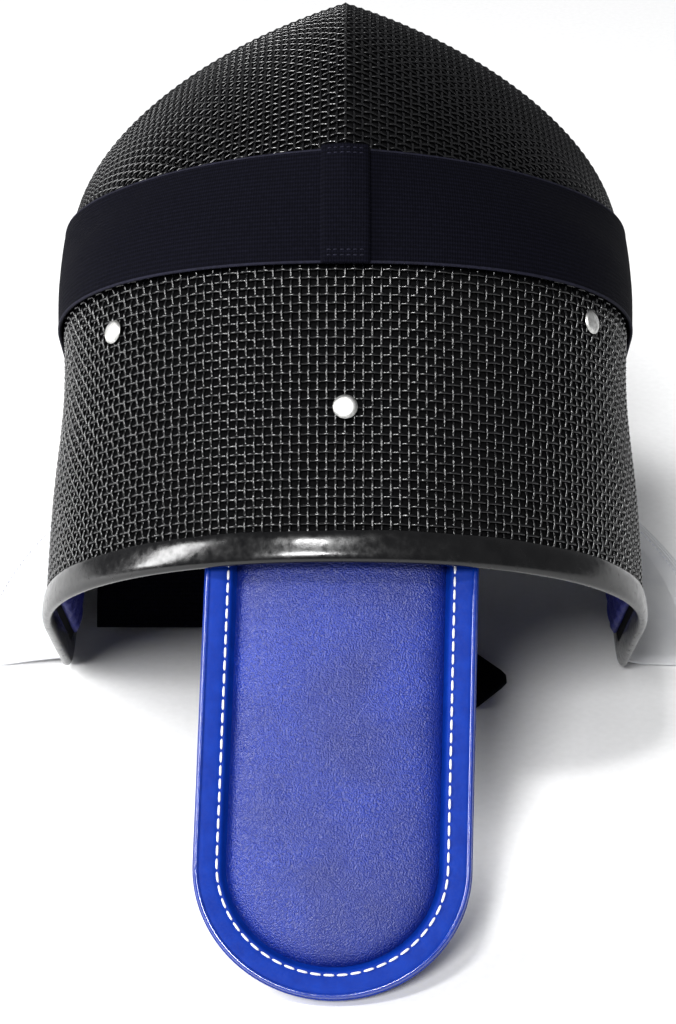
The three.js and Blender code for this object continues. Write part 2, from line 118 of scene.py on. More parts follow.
@dataclass(frozen=True)
class Finish:
    """A finish: what it is called, and its plain shader settings."""

    name: str
    colour: str
    roughness: float
    metallic: float = 0.0
    ior: float = 1.5
    coat: float = 0.0
    sheen: float = 0.0
    specular: float = 0.5

    def material(self) -> bpy.types.Material:
        """Makes the material, or finds it when it was made before.

        Returns:
            The material.
        """
        known = bpy.data.materials.get(self.name)
        if known:
            return known
        made = bpy.data.materials.new(self.name)
        made.use_nodes = True
        tree = made.node_tree
        shader = next(n for n in tree.nodes if n.type == "BSDF_PRINCIPLED")
        shader.inputs["Base Color"].default_value = linear(self.colour)
        shader.inputs["Roughness"].default_value = self.roughness
        shader.inputs["Metallic"].default_value = self.metallic
        shader.inputs["IOR"].default_value = self.ior
        shader.inputs["Specular IOR Level"].default_value = self.specular
        shader.inputs["Coat Weight"].default_value = self.coat
        shader.inputs["Coat Roughness"].default_value = 0.1
        shader.inputs["Sheen Weight"].default_value = self.sheen
        shader.inputs["Sheen Roughness"].default_value = 0.4
        self.pattern(tree, shader)
        return made

    def pattern(self, tree: Tree, shader: Node) -> None:
        """Adds the finish's own nodes. Each finish says what they give the eye."""
        raise NotImplementedError

    def noise(self, tree: Tree, size_mm: float, detail: float = 3.0) -> Socket:
        """A noise whose blotches are about size_mm across, in the object's own place.

        Args:
            tree: the material's node tree.
            size_mm: the size of one blotch.
            detail: how many finer octaves it has.
        Returns:
            The noise's value.
        """
        place = add_node(tree, "ShaderNodeTexCoord").outputs["Object"]
        inputs = {"Vector": place, "Scale": 1 / (size_mm * MM), "Detail": detail}
        return add_node(tree, "ShaderNodeTexNoise", inputs).outputs[0]

    def mixed(self, tree: Tree, share: Socket, first: str, second: str) -> Socket:
        """A colour between two, by a share from 0 to 1."""
        inputs = {0: share, 6: linear(first), 7: linear(second)}
        return add_node(tree, "ShaderNodeMix", inputs, data_type="RGBA").outputs[2]

    def spread(self, tree: Tree, value: Socket, low: float, high: float, start: float = 0.3,
               end: float = 0.7) -> Socket:
        """Spreads a value between start and end over low to high."""
        inputs = {0: value, 1: start, 2: end, 3: low, 4: high}
        return add_node(tree, "ShaderNodeMapRange", inputs).outputs[0]

    def tinted(self, tree: Tree, shader: Node, value: Socket, first: str, second: str, start: float = 0.3,
               end: float = 0.7) -> None:
        """Colours the surface from one colour at a value's start to another at its end."""
        share = self.spread(tree, value, 0, 1, start, end)
        tree.links.new(self.mixed(tree, share, first, second), shader.inputs["Base Color"])

    def roughened(self, tree: Tree, shader: Node, value: Socket, less: float, more: float) -> None:
        """Varies the roughness with a value, from less than the finish's own to more."""
        varied = self.spread(tree, value, self.roughness - less, self.roughness + more)
        tree.links.new(varied, shader.inputs["Roughness"])

    def raised(self, tree: Tree, shader: Node, height: Socket, depth_mm: float, strength: float = 1.0) -> None:
        """Raises the surface by a height from 0 to 1.

        Args:
            tree: the material's node tree.
            shader: its shader.
            height: the height.
            depth_mm: how deep a height of 1 is.
            strength: how much of the relief shows.
        """
        inputs = {"Height": height, "Distance": depth_mm * MM, "Strength": strength}
        bump = add_node(tree, "ShaderNodeBump", inputs)
        tree.links.new(bump.outputs[0], shader.inputs["Normal"])

    def lay_axes(self, tree: Tree) -> tuple[Socket, Socket]:
        """The cloth's own coordinates in mm.

        Args:
            tree: the material's node tree.
        Returns:
            The coordinate along the cloth and the one across it.
        """
        lay = add_node(tree, "ShaderNodeAttribute", attribute_name=LAY).outputs["Vector"]
        split = add_node(tree, "ShaderNodeSeparateXYZ", {0: lay})
        return split.outputs[0], split.outputs[1]

    def ribs(self, tree: Tree, place: Socket, pitch_mm: float) -> Socket:
        """Even ribs.

        Args:
            tree: the material's node tree.
            place: a coordinate in mm.
            pitch_mm: the distance from rib to rib.
        Returns:
            The ribs' height, from 0 to 1.
        """
        turn = self.combined(tree, place, 2 * math.pi / pitch_mm, "MULTIPLY")
        wave = add_node(tree, "ShaderNodeMath", {0: turn}, operation="SINE").outputs[0]
        inputs = {0: wave, 1: 0.5, 2: 0.5}
        return add_node(tree, "ShaderNodeMath", inputs, operation="MULTIPLY_ADD").outputs[0]

    def combined(self, tree: Tree, first: Socket, second: Socket | float, how: str) -> Socket:
        """Two values put together by a math operation."""
        return add_node(tree, "ShaderNodeMath", {0: first, 1: second}, operation=how).outputs[0]

    def layered(self, tree: Tree, first: Socket, second: Socket, share: float) -> Socket:
        """One height plus a share of another."""
        return self.combined(tree, first, self.combined(tree, second, share, "MULTIPLY"), "ADD")


@dataclass(frozen=True)
class DipCoatedSteelWire(Finish):
    """Steel wire dipped in black enamel: a hard round highlight on each crossing, and a little dust."""

    dust: str = "#08080a"

    def pattern(self, tree: Tree, shader: Node) -> None:
        """Dust greys the enamel in patches, and the coat's drips roughen it.

        Args:
            tree: the material's node tree.
            shader: its shader.
        """
        self.tinted(tree, shader, self.noise(tree, size_mm=9), self.colour, self.dust)
        drips = self.noise(tree, size_mm=1.2)
        self.roughened(tree, shader, drips, less=0.06, more=0.1)
        self.raised(tree, shader, drips, depth_mm=0.05)


@dataclass(frozen=True)
class PlasticisedVinyl(Finish):
    """Soft vinyl extrusion: black with long soft reflections that small wrinkles and scuffs break up."""

    scuffed: str = "#0c0c0d"

    def pattern(self, tree: Tree, shader: Node) -> None:
        """Wrinkles of a few millimetres break the highlights, and handling has dulled it in patches.

        Args:
            tree: the material's node tree.
            shader: its shader.
        """
        wrinkles = self.noise(tree, size_mm=7, detail=4)
        scuffs = self.noise(tree, size_mm=2.5, detail=5)
        self.roughened(tree, shader, scuffs, less=0, more=0.16)
        self.tinted(tree, shader, wrinkles, self.colour, self.scuffed)
        self.raised(tree, shader, wrinkles, depth_mm=0.25, strength=0.4)


@dataclass(frozen=True)
class NickelPlate(Finish):
    """Nickel-plated brass: a pale metal with fine turning marks and dulled spots."""

    tarnish: str = "#a9a9a6"

    def pattern(self, tree: Tree, shader: Node) -> None:
        """Tarnish spots roughen the plate, and fine pits break its highlight.

        Args:
            tree: the material's node tree.
            shader: its shader.
        """
        spots = self.noise(tree, size_mm=1.5, detail=4)
        self.roughened(tree, shader, spots, less=0.08, more=0.15)
        self.tinted(tree, shader, spots, self.colour, self.tarnish)
        self.raised(tree, shader, self.noise(tree, size_mm=0.5), depth_mm=0.03)


@dataclass(frozen=True)
class GrainedLeatherette(Finish):
    """Coated cloth pressed with a fine pebble grain: each pebble catches its own speck of light."""

    light: str = "#4a58c8"
    grain_mm: float = 0.5
    grain_depth_mm: float = 0.26

    def pattern(self, tree: Tree, shader: Node) -> None:
        """Pebbles with painted shade in the creases between them, over slow random changes of tone.

        Args:
            tree: the material's node tree.
            shader: its shader.
        """
        place = add_node(tree, "ShaderNodeTexCoord").outputs["Object"]
        inputs = {"Vector": place, "Scale": 1 / (self.grain_mm * MM), "Randomness": 0.9}
        pebbles = add_node(tree, "ShaderNodeTexVoronoi", inputs, feature="SMOOTH_F1").outputs["Distance"]
        creases = self.spread(tree, pebbles, 1, 0, start=0.1, end=0.7)
        slow = self.noise(tree, size_mm=26, detail=2)
        shade = self.mixed(tree, self.spread(tree, slow, 0, 1), self.colour, self.light)
        # painted shade: the creases between the pebbles keep the darker base colour
        inputs = {0: creases, 6: linear(self.colour), 7: shade}
        colour = add_node(tree, "ShaderNodeMix", inputs, data_type="RGBA").outputs[2]
        tree.links.new(colour, shader.inputs["Base Color"])
        fine = self.noise(tree, size_mm=0.5, detail=2)
        self.roughened(tree, shader, fine, less=0.08, more=0.1)
        self.raised(tree, shader, self.combined(tree, creases, fine, "ADD"), self.grain_depth_mm)


@dataclass(frozen=True)
class SmoothLeatherette(Finish):
    """The same coated cloth stretched over an edge, where the grain is pulled flat and glossy."""

    pulled: str = "#022c8a"

    def pattern(self, tree: Tree, shader: Node) -> None:
        """A shallow pull of the surface every few millimetres, and slight changes of shade.

        Args:
            tree: the material's node tree.
            shader: its shader.
        """
        pulls = self.noise(tree, size_mm=5, detail=3)
        self.tinted(tree, shader, pulls, self.colour, self.pulled)
        grain = self.noise(tree, size_mm=0.7, detail=2)
        self.roughened(tree, shader, grain, less=0.05, more=0.08)
        self.raised(tree, shader, self.layered(tree, pulls, grain, 0.15), depth_mm=0.1)


@dataclass(frozen=True)
class TwistedThread(Finish):
    """Bonded polyester thread: off-white, with a fine grain of fibres."""

    hollow: str = "#c9ccd8"

    def pattern(self, tree: Tree, shader: Node) -> None:
        """Fine fibres, with painted shade greying the hollows between them a little.

        Args:
            tree: the material's node tree.
            shader: its shader.
        """
        fibres = self.noise(tree, size_mm=0.35, detail=3)
        # painted shade: where the fibres' relief is low the thread takes the grey hollow colour
        self.tinted(tree, shader, fibres, self.hollow, self.colour)
        self.raised(tree, shader, fibres, depth_mm=0.08)


@dataclass(frozen=True)
class WovenWebbing(Finish):
    """Woven elastic or tape: rubber ribs run along it, and the weft crosses them in fine steps."""

    light: str = "#1b1a2b"
    rib_mm: float = 1.6
    weft_mm: float = 0.9
    depth_mm: float = 0.16

    def pattern(self, tree: Tree, shader: Node) -> None:
        """Ribs and weft in relief, darker in the hollows by painted shade and lighter on the tops by painted
        light, with lint that greys it in patches.

        Args:
            tree: the material's node tree.
            shader: its shader.
        """
        along, across = self.lay_axes(tree)
        ribs = self.ribs(tree, across, self.rib_mm)
        weft = self.ribs(tree, along, self.weft_mm)
        relief = self.layered(tree, ribs, weft, 0.6)
        lint = self.noise(tree, size_mm=1.4, detail=4)
        # painted shade and light: rib tops take the light colour, hollows the base colour, and lint varies it
        shade = self.combined(tree, self.combined(tree, relief, 0.4, "MULTIPLY"), lint, "MULTIPLY")
        self.tinted(tree, shader, shade, self.colour, self.light, start=0.05, end=0.5)
        self.raised(tree, shader, self.combined(tree, relief, lint, "ADD"), self.depth_mm)


@dataclass(frozen=True)
class TightTwill(Finish):
    """Tightly woven coated cotton: white, with slanting fine ribs and a faint grey in its folds."""

    shade: str = "#d9dbe0"
    twill_mm: float = 1.1

    def pattern(self, tree: Tree, shader: Node) -> None:
        """The twill's slanting ribs, drawn twice as coarse as real so that they show, over slow creases.

        Args:
            tree: the material's node tree.
            shader: its shader.
        """
        along, across = self.lay_axes(tree)
        ribs = self.ribs(tree, self.combined(tree, along, across, "ADD"), self.twill_mm)
        threads = self.ribs(tree, self.combined(tree, along, across, "SUBTRACT"), self.twill_mm / 2)
        creases = self.noise(tree, size_mm=22, detail=3)
        self.tinted(tree, shader, creases, self.shade, self.colour)
        self.raised(tree, shader, self.layered(tree, ribs, threads, 0.4), depth_mm=0.1)


@dataclass(frozen=True)
class PaintedShadeSheet(Finish):
    """A painted shade: a soft black sheet without reflections that makes the gaps of the wire cloth dark,
    standing in for the shadowed inside of the mask.
    """

    fibre: str = "#060607"

    def pattern(self, tree: Tree, shader: Node) -> None:
        """Fibres that are barely lighter than the black of the painted shade.

        Args:
            tree: the material's node tree.
            shader: its shader.
        """
        fibres = self.noise(tree, size_mm=0.8)
        self.tinted(tree, shader, fibres, self.colour, self.fibre)
        self.raised(tree, shader, fibres, depth_mm=0.1)


@dataclass(frozen=True)
class MattPaper(Finish):
    """The studio's rolled paper: matt and almost white."""

    light: str = "#fbfbfb"

    def pattern(self, tree: Tree, shader: Node) -> None:
        """Paper fibre that is barely there."""
        self.tinted(tree, shader, self.noise(tree, size_mm=3), self.colour, self.light)


WIRE = DipCoatedSteelWire("dip_coated_steel_wire", "#020203", 0.19, ior=1.55)
# painted shade: a black sheet inside the wire cloth that darkens its gaps
SHADE_SHEET = PaintedShadeSheet("painted_shade_sheet", "#040405", 0.95, specular=0.1)
VINYL = PlasticisedVinyl("plasticised_vinyl", "#030304", 0.13, ior=1.5)
NICKEL = NickelPlate("nickel_plate", "#f2f2f0", 0.42, metallic=1.0)
PAD_LEATHERETTE = GrainedLeatherette("grained_leatherette", "#041a6c", 0.38, light="#0a309c", specular=0.65)
EDGE_LEATHERETTE = SmoothLeatherette("smooth_leatherette", "#00247c", 0.55, specular=0.1)
PIPING = SmoothLeatherette("glossy_piping", "#00247c", 0.14, specular=0.9)
THREAD = TwistedThread("twisted_polyester_thread", "#f4f4f8", 0.6)
ELASTIC = WovenWebbing("woven_elastic", "#030308", 0.85, light="#0d0d18", specular=0.05)
SELVEDGE = WovenWebbing("elastic_selvedge", "#0a0a12", 0.8, light="#26263a", rib_mm=0.7, specular=0.15)
TAPE = WovenWebbing("woven_binding_tape", "#e6e7ea", 0.8, light="#f6f6f8", rib_mm=1.2, weft_mm=0.8)
TWILL = TightTwill("tight_cotton_twill", "#f6f7f8", 0.8, shade="#e9eaee")
LINING = GrainedLeatherette("lining_leatherette", "#060e62", 0.55, light="#101c86", grain_mm=1.2)
PAPER = MattPaper("studio_paper", "#f6f6f6", 0.9, specular=0.1)


# ---- Meshes from arrays ----
@dataclass
class Patch:
    """Points and triangles that make part of a piece, with the cloth's own coordinates at each point."""

    points: Array
    faces: Array
    lay: Array


def joined(patches: list[Patch]) -> Patch:
    """Puts patches together into one.

    Args:
        patches: the patches, each with its own points.
    Returns:
        One patch that holds them all.
    """
    starts = np.cumsum([0] + [len(p.points) for p in patches[:-1]])
    faces = [p.faces + start for p, start in zip(patches, starts)]
    points = [p.points for p in patches]
    return Patch(np.concatenate(points), np.concatenate(faces), np.concatenate([p.lay for p in patches]))


def halves(quads: Array) -> Array:
    """Cuts quads (n, 4) into triangles (2 n, 3)."""
    return np.concatenate([quads[:, [0, 1, 2]], quads[:, [0, 2, 3]]])


def grid_quads(rows: int, columns: int, closed: bool = False) -> Array:
    """The quads between the points of a grid.

    Args:
        rows: how many rows of points there are.
        columns: how many points a row has.
        closed: whether the last row joins the first.
    Returns:
        The corner numbers of each quad, (n, 4).
    """
    i, j = np.meshgrid(np.arange(rows if closed else rows - 1), np.arange(columns - 1), indexing="ij")
    i, j = i.ravel(), j.ravel()
    after = (i + 1) % rows
    return np.stack([i * columns + j, after * columns + j, after * columns + j + 1, i * columns + j + 1], 1)


def unit(vectors: Array) -> Array:
    """Scales vectors to length one."""
    return vectors / np.maximum(np.linalg.norm(vectors, axis=-1, keepdims=True), 1e-9)


def reach_of(points: Array) -> Array:
    """The distance along a chain of points, from its start to each point."""
    return np.concatenate([[0], np.cumsum(np.linalg.norm(np.diff(points, axis=0), axis=1))])


def at_reach(rows: Array, reach: Array, chain: int | None = None) -> Array:
    """Rows of values at given distances along the chain that their first columns, or all, make."""
    known = reach_of(rows[:, :chain])
    return np.stack([np.interp(reach, known, column) for column in rows.T], 1)


def even_steps(points: Array, count: int) -> Array:
    """Resamples a chain of points into count equal steps."""
    return at_reach(points, np.linspace(0, reach_of(points)[-1], count + 1))


def tube(line: Array, up: Array, radii: Array | float, sides: int, flat: float = 1.0) -> Patch:
    """A closed round bar along a line.

    Args:
        line: the centre line's points, (n, 3).
        up: the direction that counts as up at each point.
        radii: the bar's radius, one for all or one for each point.
        sides: how many sides the bar has.
        flat: how high the bar is for its width.
    Returns:
        The bar, its ends closed.
    """
    count = len(line)
    radii = np.broadcast_to(np.asarray(radii, float), (count,))[:, None, None]
    along = unit(np.gradient(line, axis=0))
    side = unit(np.cross(along, up))
    lift = np.cross(side, along)
    turn = np.arange(sides) * 2 * np.pi / sides
    ring = np.cos(turn)[None, :, None] * side[:, None] + flat * np.sin(turn)[None, :, None] * lift[:, None]
    points = (line[:, None] + radii * ring).reshape(-1, 3)
    i, j = np.meshgrid(np.arange(count - 1), np.arange(sides), indexing="ij")
    a, b = (i * sides + j).ravel(), (i * sides + (j + 1) % sides).ravel()
    walls = halves(np.stack([a, b, b + sides, a + sides], 1))
    rim = np.arange(sides)
    last = (count - 1) * sides
    start_cap = np.stack([np.full(sides, count * sides), (rim + 1) % sides, rim], 1)
    end_cap = np.stack([np.full(sides, count * sides + 1), last + rim, last + (rim + 1) % sides], 1)
    points = np.concatenate([points, line[:1], line[-1:]])
    return Patch(points, np.concatenate([walls, start_cap, end_cap]), np.zeros_like(points))


def thick_cloth(grid: Array, thick: float, lay: Array, puff: Array | None = None,
                edge: float = 0.35) -> Patch:
    """A closed wall on both sides of a grid of points, thinned at its border so that its edges look turned.

    Args:
        grid: the middle surface's points, (rows, columns, 3).
        thick: the wall's thickness.
        lay: the cloth's own coordinates at each point, (rows, columns, 2).
        puff: how far the outer face stands proud at each point, (rows, columns).
        edge: the share of the thickness that is left at the border.
    Returns:
        The wall.
    """
    rows, columns = grid.shape[:2]
    normal = unit(np.cross(np.gradient(grid, axis=1), np.gradient(grid, axis=0)))
    half = np.full((rows, columns), thick / 2)
    half[0], half[-1], half[:, 0], half[:, -1] = (edge * thick / 2,) * 4
    proud = np.zeros_like(half) if puff is None else puff
    outer = grid + normal * (half + proud)[..., None]
    inner = grid - normal * half[..., None]
    quads = grid_quads(rows, columns)
    number = np.arange(rows * columns).reshape(rows, columns)
    border = np.concatenate([number[0], number[1:, -1], number[-1, -2::-1], number[-2:0:-1, 0]])
    nxt = np.roll(border, -1)
    size = rows * columns
    rim = np.stack([border, nxt, nxt + size, border + size], 1)
    faces = np.concatenate([halves(quads), halves(quads[:, ::-1] + size), halves(rim)])
    flat = np.concatenate([lay, np.zeros((rows, columns, 1))], 2).reshape(-1, 3)
    points = np.concatenate([outer.reshape(-1, 3), inner.reshape(-1, 3)])
    return Patch(points, faces, np.concatenate([flat, flat]))


def grid_lay(grid: Array) -> Array:
    """A cloth's own coordinates, by distance along its middle row and across its middle column.

    Args:
        grid: the cloth's points, (rows, columns, 3).
    Returns:
        The coordinates along and across at each point, (rows, columns, 2).
    """
    middle = [n // 2 for n in grid.shape[:2]]
    across = reach_of(grid[:, middle[1]])
    along = reach_of(grid[middle[0]])
    return np.stack(np.meshgrid(along, across), 2)


def loft(sections: Array, closed: bool) -> Patch:
    """A bar through cross-sections with equal counts of points.

    Args:
        sections: the sections' points in order, (sections, points, 3).
        closed: whether the last section joins the first.
    Returns:
        The bar, with flat ends if it isn't closed.
    """
    count, size = sections.shape[:2]
    looped = np.concatenate([sections, sections[:, :1]], 1)
    quads = grid_quads(count, size + 1, closed)
    row, place = np.divmod(np.arange(count * (size + 1)), size + 1)
    wrap = row * size + place % size
    faces = [halves(wrap[quads])]
    if not closed:
        fan = np.arange(1, size - 1)
        end = (count - 1) * size
        faces.append(np.stack([np.zeros_like(fan), fan, fan + 1], 1))
        faces.append(np.stack([np.full_like(fan, end), end + fan + 1, end + fan], 1))
    along = reach_of(sections.mean(1))
    across = reach_of(looped[0])[:-1]
    lay = np.stack([*np.meshgrid(along, across, indexing="ij"), np.zeros((count, size))], 2)
    return Patch(sections.reshape(-1, 3), np.concatenate(faces), lay.reshape(-1, 3))


# One stitch from end to end: share of its length, height and radius, both in thread radii.
STITCH = (
    (0, -0.9, 0.55), (0.12, 0.25, 0.9), (0.35, 0.6, 1), (0.65, 0.6, 1), (0.88, 0.25, 0.9), (1, -0.9, 0.55),
)
THREAD_SIDES = 6


def stitches(line: Array, up: Array, pitch: float, length: float, radius: float) -> Patch:
    """A row of sewn stitches: each dips into the cloth at both ends.

    Args:
        line: the seam's points, (n, 3).
        up: the cloth's normal at each point.
        pitch: the distance from stitch to stitch.
        length: the part of it that shows.
        radius: the thread's radius.
    Returns:
        The stitches, joined.
    """
    total = reach_of(line)[-1]
    count = int(total // pitch)
    start = (total - count * pitch) / 2 + (pitch - length) / 2
    share, dip, swell = np.array(STITCH).T
    dip, swell = dip * radius, swell * radius
    sewn = []
    both = np.concatenate([line, up], 1)
    for k in range(count):
        here = at_reach(both, start + k * pitch + share * length, 3)
        normal = unit(here[:, 3:])
        sewn.append(tube(here[:, :3] + normal * dip[:, None], normal, swell, THREAD_SIDES))
    return joined(sewn)


def signed_power(value: Array, power: float) -> Array:
    """A power that keeps the value's sign."""
    return np.sign(value) * np.abs(value) ** power


def rounded_section(width: float, thick: float, taper: float, count: int = 22, square: float = 0.42,
                    flat: float = 0.55) -> Array:
    """A flat bar's cross-section with turned edges.

    Args:
        width: its width.
        thick: its thickness at the first edge.
        taper: the share of the thickness that is left at the other edge.
        count: how many points it has.
        square: how square its ends are, from 1, round, down to 0.
        flat: how flat its faces are, from 1, round, down to 0.
    Returns:
        The points as across and up, (count, 2), with across from 0 to width.
    """
    turn = np.arange(count) * 2 * np.pi / count
    across = width / 2 * (1 - signed_power(np.cos(turn), square))
    up = thick / 2 * signed_power(np.sin(turn), flat) * (1 - (1 - taper) * across / width)
    return np.stack([across, up], 1)


@dataclass
class Workshop:
    """Turns patches into pieces that ride on the mask, placed by the shell, and counts their triangles."""

    shell: "Shell"
    triangles: int = 0

    def piece(self, name: str, patch: Patch, finish: Finish, replaces: tuple[str, ...] = (),
              placed: bool = False) -> bpy.types.Object:
        """Makes one piece of the mask.

        Args:
            name: the piece's name.
            patch: its points and faces, in mm.
            finish: what it is made of.
            replaces: the construction nodes that it stands for.
            placed: whether its points are in the row frame already.
        Returns:
            The object.
        """
        points = patch.points if placed else self.shell.place(patch.points)
        mesh = bpy.data.meshes.new(name)
        mesh.vertices.add(len(points))
        mesh.vertices.foreach_set("co", (points * MM).astype(np.float32).ravel())
        mesh.loops.add(patch.faces.size)
        mesh.loops.foreach_set("vertex_index", patch.faces.astype(np.int32).ravel())
        mesh.polygons.add(len(patch.faces))
        mesh.polygons.foreach_set("loop_start", np.arange(0, patch.faces.size, 3, dtype=np.int32))
        mesh.update(calc_edges=True)
        mesh.validate()
        mesh.polygons.foreach_set("use_smooth", np.ones(len(mesh.polygons), bool))
        lay = mesh.attributes.new(LAY, "FLOAT_VECTOR", "POINT")
        lay.data.foreach_set("vector", patch.lay.astype(np.float32).ravel())
        made = bpy.data.objects.new(name, mesh)
        bpy.context.scene.collection.objects.link(made)
        mesh.materials.append(finish.material())
        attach(made, BODY)
        if replaces:
            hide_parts(*replaces)
        self.triangles += len(patch.faces)
        log.info("%s: %d triangles", name, len(patch.faces))
        return made


# ---- The shell's surface ----
# The shell's outline in the side view, as y and z from the crown's rear edge over the face to the chin.
RIDGE = np.array(
    [(0, 190), (50, 190.5), (102, 189), (148, 181), (191, 157), (225.5, 115), (239.5, 67), (234, 22),
     (211, -19), (172, -48), (134, -59)], float)


def centripetal_spline(knots: Array, steps: int) -> Array:
    """A centripetal Catmull-Rom curve through knots.

    Args:
        knots: the points that it passes, (n, 2).
        steps: how many steps each span has.
    Returns:
        The curve's points.
    """
    padded = np.concatenate([[2 * knots[0] - knots[1]], knots, [2 * knots[-1] - knots[-2]]])
    share = np.linspace(0, 1, steps, endpoint=False)[:, None]
    spans = []
    for a, b, c, d in zip(padded, padded[1:], padded[2:], padded[3:]):
        first, middle, last = [np.sum((q - p) ** 2) ** 0.25 for p, q in ((a, b), (b, c), (c, d))]
        leave = ((b - a) / first - (c - a) / (first + middle) + (c - b) / middle) * middle
        arrive = ((c - b) / middle - (d - b) / (middle + last) + (d - c) / last) * middle
        cubic = (2 * (b - c) + leave + arrive) * share**3 + (3 * (c - b) - 2 * leave - arrive) * share**2
        spans.append(cubic + leave * share + b)
    return np.concatenate([*spans, knots[-1:]])


def smooth(value: Array | float) -> Array | float:
    """A smooth step from 0 to 1."""
    held = np.clip(value, 0, 1)
    return held * held * (3 - 2 * held)


@dataclass
class Shell:
    """The wire shell as a surface over its side view, and its place in the row frame."""

    lean_deg: float = 51.0
    half_width: float = 107.0
    narrowing: float = 0.045
    shoulder_rear: float = 118.0
    shoulder_face: float = 87.0
    shoulder_y: float = 110.0
    arch_power: float = 2.2
    crease: float = 0.36
    pinch_depth: float = 3.6
    pinch_y: float = 80.0
    pinch_reach: float = 32.0
    crease_start: float = 100.0
    crease_full: float = 165.0
    edge_slope: float = 0.44
    wall: float = 2.0
    samples: int = 260
    knot_steps: int = 60
    batch: int = 8000
    halvings: int = 30

    def __post_init__(self) -> None:
        """Works out the ridge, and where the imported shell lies."""
        self.ridge = even_steps(centripetal_spline(RIDGE, self.knot_steps), self.samples)
        self.ridge_length = reach_of(self.ridge)[-1]
        low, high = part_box("face_mesh")
        self.shift = np.zeros(3)
        turned = self.place(np.column_stack([np.zeros(len(self.ridge)), self.ridge]))
        self.shift = np.array([0, high.y, high.z]) / MM - turned.max(0) - self.wall / 2 * np.array([0, 1, 1])
        self.shift[0] = (low.x + high.x) / 2 / MM

    def place(self, points: Array) -> Array:
        """Turns points of the mask's own frame into the row frame.

        Args:
            points: the points, (..., 3).
        Returns:
            The points in the row frame, in mm.
        """
        turn = math.radians(self.lean_deg)
        x, y, z = points[..., 0], points[..., 1], points[..., 2]
        turned = [x, y * math.cos(turn) - z * math.sin(turn), y * math.sin(turn) + z * math.cos(turn)]
        return np.stack(turned, -1) + self.shift

    def ridge_at(self, distance: Array | float) -> Array:
        """The ridge's side-view points at distances along it."""
        return at_reach(self.ridge, np.atleast_1d(np.asarray(distance, float)))

    def ridge_distance(self, y: float) -> float:
        """The distance along the ridge at which it first reaches y."""
        rising = int(np.argmax(self.ridge[:, 0]))
        return float(np.interp(y, self.ridge[: rising + 1, 0], reach_of(self.ridge)[: rising + 1]))

    def jaw(self, y: Array | float, inset: float) -> Array | float:
        """Height of the jaw edge, raised along the shell by an inset."""
        return -self.edge_slope * y + inset * math.hypot(1, self.edge_slope)

    def surface(self, side_view: Array) -> tuple[Array, Array]:
        """The right half of the shell at points of the side view.

        Args:
            side_view: the points' y and z, (n, 2).
        Returns:
            The points on the shell, (n, 3), and their outward normals.
        """
        starts = range(0, len(side_view), self.batch)
        parts = [self.batch_surface(side_view[k : k + self.batch]) for k in starts]
        return np.concatenate([p[0] for p in parts]), np.concatenate([p[1] for p in parts])

    def batch_surface(self, side_view: Array) -> tuple[Array, Array]:
        """The same as surface, for a batch small enough to compare with every step of the ridge.

        Args:
            side_view: the points' y and z, (n, 2).
        Returns:
            The points on the shell, (n, 3), and their outward normals.
        """
        start, step = self.ridge[:-1], np.diff(self.ridge, axis=0)
        off = side_view[:, None] - start
        share = np.clip((off * step).sum(2) / (step**2).sum(1), 0, 1)
        gap = np.linalg.norm(off - share[..., None] * step, axis=2)
        best = gap.argmin(1)
        rows = np.arange(len(side_view))
        depth = gap[rows, best]
        foot = start[best, 0] + share[rows, best] * step[best, 0]
        near = np.where(best > self.samples / 2, self.crease_full, foot)
        crease = self.crease * smooth((near - self.crease_start) / (self.crease_full - self.crease_start))
        scale = self.shoulder_rear + (self.shoulder_face - self.shoulder_rear) * smooth(near / self.shoulder_y)
        goal = np.minimum(1, depth / scale)
        low, high = np.zeros_like(goal), np.ones_like(goal)
        power = self.arch_power
        for _ in range(self.halvings):
            middle = (low + high) / 2
            below = (1 - crease) * (1 - (1 - middle**power) ** (1 / power)) + crease * middle < goal
            low, high = np.where(below, middle, low), np.where(below, high, middle)
        y = side_view[:, 0]
        pinch = self.pinch_depth * np.exp(-(((y - self.pinch_y) / self.pinch_reach) ** 2))
        width = self.half_width - self.narrowing * np.maximum(0, y) - pinch
        drift = 2 * pinch * (y - self.pinch_y) / self.pinch_reach**2 - self.narrowing
        bound = np.minimum(low, 0.9999)
        slope = (1 - crease) * bound ** (power - 1) * (1 - bound**power) ** (1 / power - 1) + crease
        tangent = unit(step)[best]
        pull = -tangent[:, 1] * width - drift * low * scale * slope
        normal = np.stack([scale * slope, pull, tangent[:, 0] * width], 1)
        return np.column_stack([width * low, side_view]), unit(normal)

    def half_line(self, side_view: Array, lift: float = 0.0) -> tuple[Array, Array]:
        """A line of the right half from the ridge outward, as dense points and normals.

        Args:
            side_view: its side-view points from the ridge, (n, 2).
            lift: how far off the shell's middle surface it lies.
        Returns:
            The points and the normals.
        """
        points, normal = self.surface(side_view)
        points[0, 0] = 0
        normal[0, 0] = 0
        normal = unit(normal)
        return points + normal * lift, normal

    def full_line(self, side_view: Array, count: int, lift: float = 0.0) -> tuple[Array, Array]:
        """A line over both halves at equal steps, from left to right.

        Args:
            side_view: the right half's side-view points from the ridge.
            count: how many steps each half has.
            lift: how far off the shell's middle surface it lies.
        Returns:
            The points and the normals.
        """
        points, normal = self.half_line(side_view, lift)
        both = np.column_stack([points, normal])
        even = at_reach(both, np.linspace(0, reach_of(points)[-1], count + 1), 3)
        line = np.concatenate([even[:0:-1] * np.tile(MIRROR, 2), even])
        return line[:, :3], unit(line[:, 3:])


def bezier(points: list[Array], share: Array) -> Array:
    """A Bezier curve of any degree.

    Args:
        points: its control points.
        share: how far along it each wanted point is, from 0 to 1.
    Returns:
        The points.
    """
    layer = [np.asarray(p, float) for p in points]
    layer = [np.broadcast_to(p, (len(share), len(p))) for p in layer]
    while len(layer) > 1:
        layer = [a + (b - a) * share[:, None] for a, b in zip(layer, layer[1:])]
    return layer[0]


